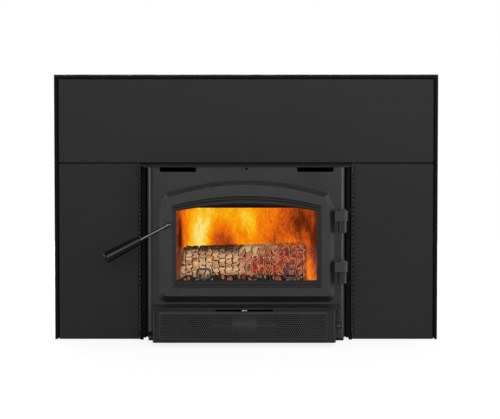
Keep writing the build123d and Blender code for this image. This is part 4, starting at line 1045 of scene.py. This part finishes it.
# %% [markdown]
# ## Charred log
# Wood that burns shrinks and splits into blocks: long cracks run across the face, and short
# ones divide the strips between them. The log starts as a prism with rounded edges, a voxel
# remesh gives it an even mesh, and each point is then moved in or out along its normal by how
# near it is to a crack. The same number is kept as an attribute, so the material can blacken
# the cracks, and each block gets a tone and a glow of its own.

# %% Log body
LOG_SECTION = [(0.008, 0.172), (0.030, 0.1565), (0.092, 0.1565), (0.116, 0.178), (0.120, 0.210),
               (0.098, 0.248), (0.066, 0.264), (0.034, 0.256), (0.012, 0.220)]
LOG_LEFT, LOG_RIGHT = -0.198, 0.174
LOG_CENTRE_Y, LOG_CENTRE_Z, LOG_ROUND = 0.064, 0.212, 0.055
LOG_FOOT_Z, HEARTH_Z = 0.157, 0.1562
LEFT_SLANT, RIGHT_RISE = 0.16, 0.09
VOXEL = 0.0017


def log_body():
    bm = bmesh.new()
    ring = [bm.verts.new((LOG_LEFT, y, z)) for y, z in LOG_SECTION]
    end = bm.faces.new(ring)
    grown = bmesh.ops.extrude_face_region(bm, geom=[end])["geom"]
    moved = [item for item in grown if isinstance(item, bmesh.types.BMVert)]
    bmesh.ops.translate(bm, verts=moved, vec=(LOG_RIGHT - LOG_LEFT, 0, 0))
    bmesh.ops.recalc_face_normals(bm, faces=bm.faces[:])
    for vert in bm.verts:
        if vert.co.x < 0:
            vert.co.x += LEFT_SLANT * (vert.co.z - LOG_FOOT_Z)
        else:
            vert.co.z += RIGHT_RISE * (vert.co.z - LOG_FOOT_Z)
    bmesh.ops.bevel(bm, geom=bm.edges[:], offset=0.007, segments=3, profile=0.5,
                    affect="EDGES", material=-1)
    body = mesh_object("log_body", bm)
    remesh = body.modifiers.new("even", "REMESH")
    remesh.mode = "VOXEL"
    remesh.voxel_size = VOXEL
    even = bmesh.new()
    even.from_object(body, bpy.context.evaluated_depsgraph_get())
    bpy.data.objects.remove(body)
    return even


log_mesh = log_body()
print("the log has", len(log_mesh.verts), "even points")

# %% Cracks and blocks
def along_section(y, z):
    """Distance round the log from the middle of its foot, by the front."""
    turn = math.atan2(z - LOG_CENTRE_Z, LOG_CENTRE_Y - y)
    return LOG_ROUND * (turn + math.pi / 2)


BLOCK_WIDE, CROWDING = 0.0200, 6.0
BLOCK_HIGH, BLOCK_TALLER = 0.0125, 0.0085
ZIGZAG_RUN, ZIGZAG_SLANT, ZIGZAG_REACH = 0.0105, 23, 0.0034
PEAK = 0.22


def from_line(value, spacing):
    """Distance from the nearest whole number, in metres, and the cell the value lies in."""
    cell = math.floor(value)
    return (0.5 - abs(value - cell - 0.5)) * spacing, cell


def block_at(point):
    """Distance to the nearest crack, and the place of the block it runs round."""
    height = along_section(point.y, point.z)
    across = point.x - LOG_LEFT
    zigzag = abs((height / ZIGZAG_RUN + across * ZIGZAG_SLANT) % 2 - 1) - 0.5
    wander = noise.noise(Vector((point.x * 45, 0, height * 70)))
    small = noise.noise(Vector((point.x * 150, 7, height * 190)))
    sag = noise.noise(Vector((point.x * 60, 4, height * 60)))
    x = across + ZIGZAG_REACH * zigzag + 0.0022 * wander + 0.0016 * small
    y = height + 0.0026 * sag + 0.0016 * small
    column = x / BLOCK_WIDE + CROWDING * x * x
    side, number = from_line(column, 1 / (1 / BLOCK_WIDE + 2 * CROWDING * x))
    narrow = smooth_step(0.13, 0.24, across)
    tall = BLOCK_HIGH + BLOCK_TALLER * narrow
    row = y / tall + 7 * noise.cell(Vector((number + 0.5, 5.5, 0.5)))
    row += 0.35 * noise.noise(Vector((number * 3.7, row * 0.8, 2.0)))
    leaning = 1 if (number + math.floor(row)) % 2 else -1
    row += PEAK * (2 * abs(column - number - 0.5) - 0.5) * leaning
    end, level = from_line(row, tall)
    place = Vector((number + 0.5, level + 0.5, 2.5))
    if noise.cell(place * 3.1) < -0.45 + 0.5 * narrow:
        end += 0.0035   # this block has no crack of its own below it
    return min(side, end), place


def glow_at(point, luck):
    """Where the log glows: along its front foot, over its right half, and in some blocks."""
    foot = smooth_step(-0.115, -0.085, point.x) * smooth_step(0.196, 0.184, point.z)
    rise = 0.20 + 0.40 * max(0.0, point.x + 0.03)
    right = smooth_step(-0.03, 0.03, point.x + 0.012 * luck) * smooth_step(
        rise + 0.035, rise, point.z)
    patches = smooth_step(0.02, 0.12, point.x) * (1.0 if luck > 0.35 else 0.0)
    return max(foot, right, patches * smooth_step(0.28, 0.25, point.z))


MARKS = ("crack", "ridge", "tone", "glow", "char", "ash")
CRACK_DEPTH, DOME, UNEVEN = 0.0050, 0.0026, 0.0030
CRACK_EDGE, RIM_WIDTH = 0.0009, 0.0032


def crack_log(bm):
    """Moves each point in at the cracks and out on the blocks, and notes what it is part of."""
    marks = {name: [] for name in MARKS}
    bm.normal_update()
    moves = []
    for vert in bm.verts:
        point = vert.co
        near, place = block_at(point)
        luck = 0.5 + 0.5 * noise.cell(place * 5.7)
        wide = 0.0008 + 0.0007 * noise.noise(point * 60)
        crack = 1 - smooth_step(wide, wide + CRACK_EDGE, near)
        dome = smooth_step(0.0, 0.004, near)
        grain = noise.fractal(Vector((point.x * 420, point.y * 160, point.z * 160)), 1, 2, 4)
        lump = noise.noise(point * 55)
        moves.append(-CRACK_DEPTH * crack + DOME * dome + UNEVEN * (luck - 0.5)
                     + 0.0010 * lump + 0.0003 * grain)
        marks["crack"].append(crack)
        marks["ridge"].append(1 - smooth_step(wide + 0.0006, wide + RIM_WIDTH, near))
        marks["tone"].append(luck + 0.25 * lump)
        marks["glow"].append(glow_at(point, luck))
        top = smooth_step(0.246, 0.258, point.z + 0.006 * lump)
        marks["char"].append(top * smooth_step(0.02, -0.03, point.x + 0.02 * luck))
        low_left = smooth_step(0.196, 0.178, point.z) * smooth_step(-0.10, -0.125, point.x)
        marks["ash"].append(low_left)
    for vert, move in zip(bm.verts, moves):
        vert.co += vert.normal * move
        vert.co.z = max(vert.co.z, HEARTH_Z)
    return marks


log_marks = crack_log(log_mesh)
print("cracks take", round(sum(log_marks["crack"]) / len(log_marks["crack"]), 2), "of the log")

# %% [markdown]
# The log's material reads those attributes. Clean wood shows in tan blocks whose rims are paler
# with ash, the top left has charred to dark brown, and where the log glows the middle of each
# block is red, while the rims stay cream. The cracks are black everywhere.

# %% Log material
def make_log_material():
    material, tree, shader = new_material("charred_wood")
    set_values(shader, Emission_Strength=0.65, Roughness=0.95, Specular_IOR_Level=0.15)
    place = object_coordinates(tree)
    marks = {name: attribute(tree, name) for name in MARKS}
    grain = cloud(tree, stretched(tree, place, (1.0, 1.0, 0.3)), 0.0028, 4.0, 0.65)
    mottle = cloud(tree, place, 0.009, 4.0, 0.6)
    both = maths(tree, "ADD", grain, mottle)
    speck = spread(tree, both, 0.8, 1.15)
    tone = maths(tree, "ADD", times(tree, marks["tone"], 0.6), times(tree, both, 0.35))
    wood = ramp(tree, tone, [
        (0.12, screen(120, 70, 42)), (0.35, screen(184, 116, 70)), (0.6, screen(222, 160, 108)),
        (0.85, screen(246, 204, 156))])
    rim = times(tree, marks["ridge"], spread(tree, mottle, 0.3, 0.5), 0.75)
    wood = mix_colour(tree, rim, wood, screen(248, 212, 170))
    wood = mix_colour(tree, times(tree, marks["ash"], 0.75), wood, screen(138, 122, 100))
    char = times(tree, marks["char"], spread(tree, mottle, 0.25, 0.45, 0.6, 1.0))
    wood = mix_colour(tree, char, wood, ramp(tree, grain, [
        (0.3, screen(40, 18, 10)), (0.7, screen(104, 54, 30))]))
    middle = maths(tree, "SUBTRACT", marks["ridge"], times(tree, speck, 0.15))
    inside = times(tree, marks["glow"], spread(tree, middle, 0.58, 0.36))
    wood = mix_colour(tree, inside, wood, screen(70, 14, 8))
    cracked = spread(tree, marks["crack"], 0.25, 0.75)
    wood = mix_colour(tree, cracked, wood, screen(22, 12, 9))
    tree.links.new(wood, shader.inputs["Base Color"])
    red = ramp(tree, maths(tree, "ADD", mottle, times(tree, speck, 0.4)), [
        (0.35, screen(70, 4, 2)), (0.6, screen(140, 20, 8)), (0.85, screen(206, 62, 22)),
        (1.0, screen(244, 140, 70))])
    whole = spread(tree, marks["crack"], 0.6, 0.2)
    glow = mix_colour(tree, times(tree, inside, whole), grey(0.0), red)
    tree.links.new(glow, shader.inputs["Emission Color"])
    bump = add_node(tree, "ShaderNodeBump", {"Height": grain, "Distance": 0.0006})
    tree.links.new(bump.outputs[0], shader.inputs["Normal"])
    return material


charred_wood = make_log_material()
add_marks(make_piece("split_log", log_mesh, charred_wood, "root", ["fire_log"]),
          log_marks)

# %% [markdown]
# ## Bed of embers
# The floor bricks are covered in ash, and lumps of charcoal are heaped along the foot of the
# log. It is a grid raised into lumps by cell noise: the gap between the distances to the two
# nearest cell centres is small at a lump's rim and large in its middle. Some lumps glow. The
# bed shares the log's material, so it keeps the same six numbers at each point.

# %% Ember bed
BED_LOW, BED_HIGH = Vector((-0.2125, -0.046, 0.1568)), Vector((0.2125, 0.304, 0.1568))
LUMP = 0.013
HEAP_Y, HEAP_WIDE, HEAP_HIGH = -0.004, 0.014, 0.028
BED_LOG_Y = 0.03


def lump_at(point):
    near, far = noise.voronoi(Vector((point.x, point.y, 0)) / LUMP)[0][:2]
    return smooth_step(0.05, 0.6, far - near)


def ember_bed():
    size = BED_HIGH - BED_LOW
    bm = bmesh.new()
    bmesh.ops.create_grid(bm, x_segments=250, y_segments=205, size=0.5)
    marks = {name: [] for name in MARKS}
    for vert in bm.verts:
        vert.co = BED_LOW + Vector(((vert.co.x + 0.5) * size.x, (vert.co.y + 0.5) * size.y, 0))
        x, y = vert.co.x, vert.co.y
        lump, low = lump_at(vert.co), noise.noise(vert.co * 25)
        at_log = smooth_step(0.06, 0.015, abs(y - BED_LOG_Y))
        heap = math.exp(-((y - HEAP_Y) / HEAP_WIDE) ** 2) * smooth_step(0.20, 0.16, abs(x + 0.01))
        lump_high = (0.0035 + 0.0085 * at_log) * lump * (0.75 + 0.5 * low)
        vert.co.z += 0.0015 + HEAP_HIGH * heap + lump_high
        marks["crack"].append(1 - smooth_step(0.05, 0.45, lump))
        marks["ridge"].append(1 - lump)
        marks["tone"].append(0.5 + 0.6 * noise.noise(vert.co * 70))
        hot = at_log * smooth_step(-0.12, -0.09, x) * smooth_step(0.165, 0.12, x)
        strip = smooth_step(-0.008, -0.014, y) * smooth_step(-0.040, -0.030, y)
        marks["glow"].append(max(hot * smooth_step(-0.15, 0.1, low), strip * heap ** 0.25))
        marks["char"].append(smooth_step(0.0, 0.3, noise.noise(vert.co * 45)))
        marks["ash"].append(smooth_step(0.9, 0.2, at_log))
    return bm, marks


bed_mesh, bed_marks = ember_bed()
add_marks(make_piece("ember_bed", bed_mesh, charred_wood, "root"), bed_marks)
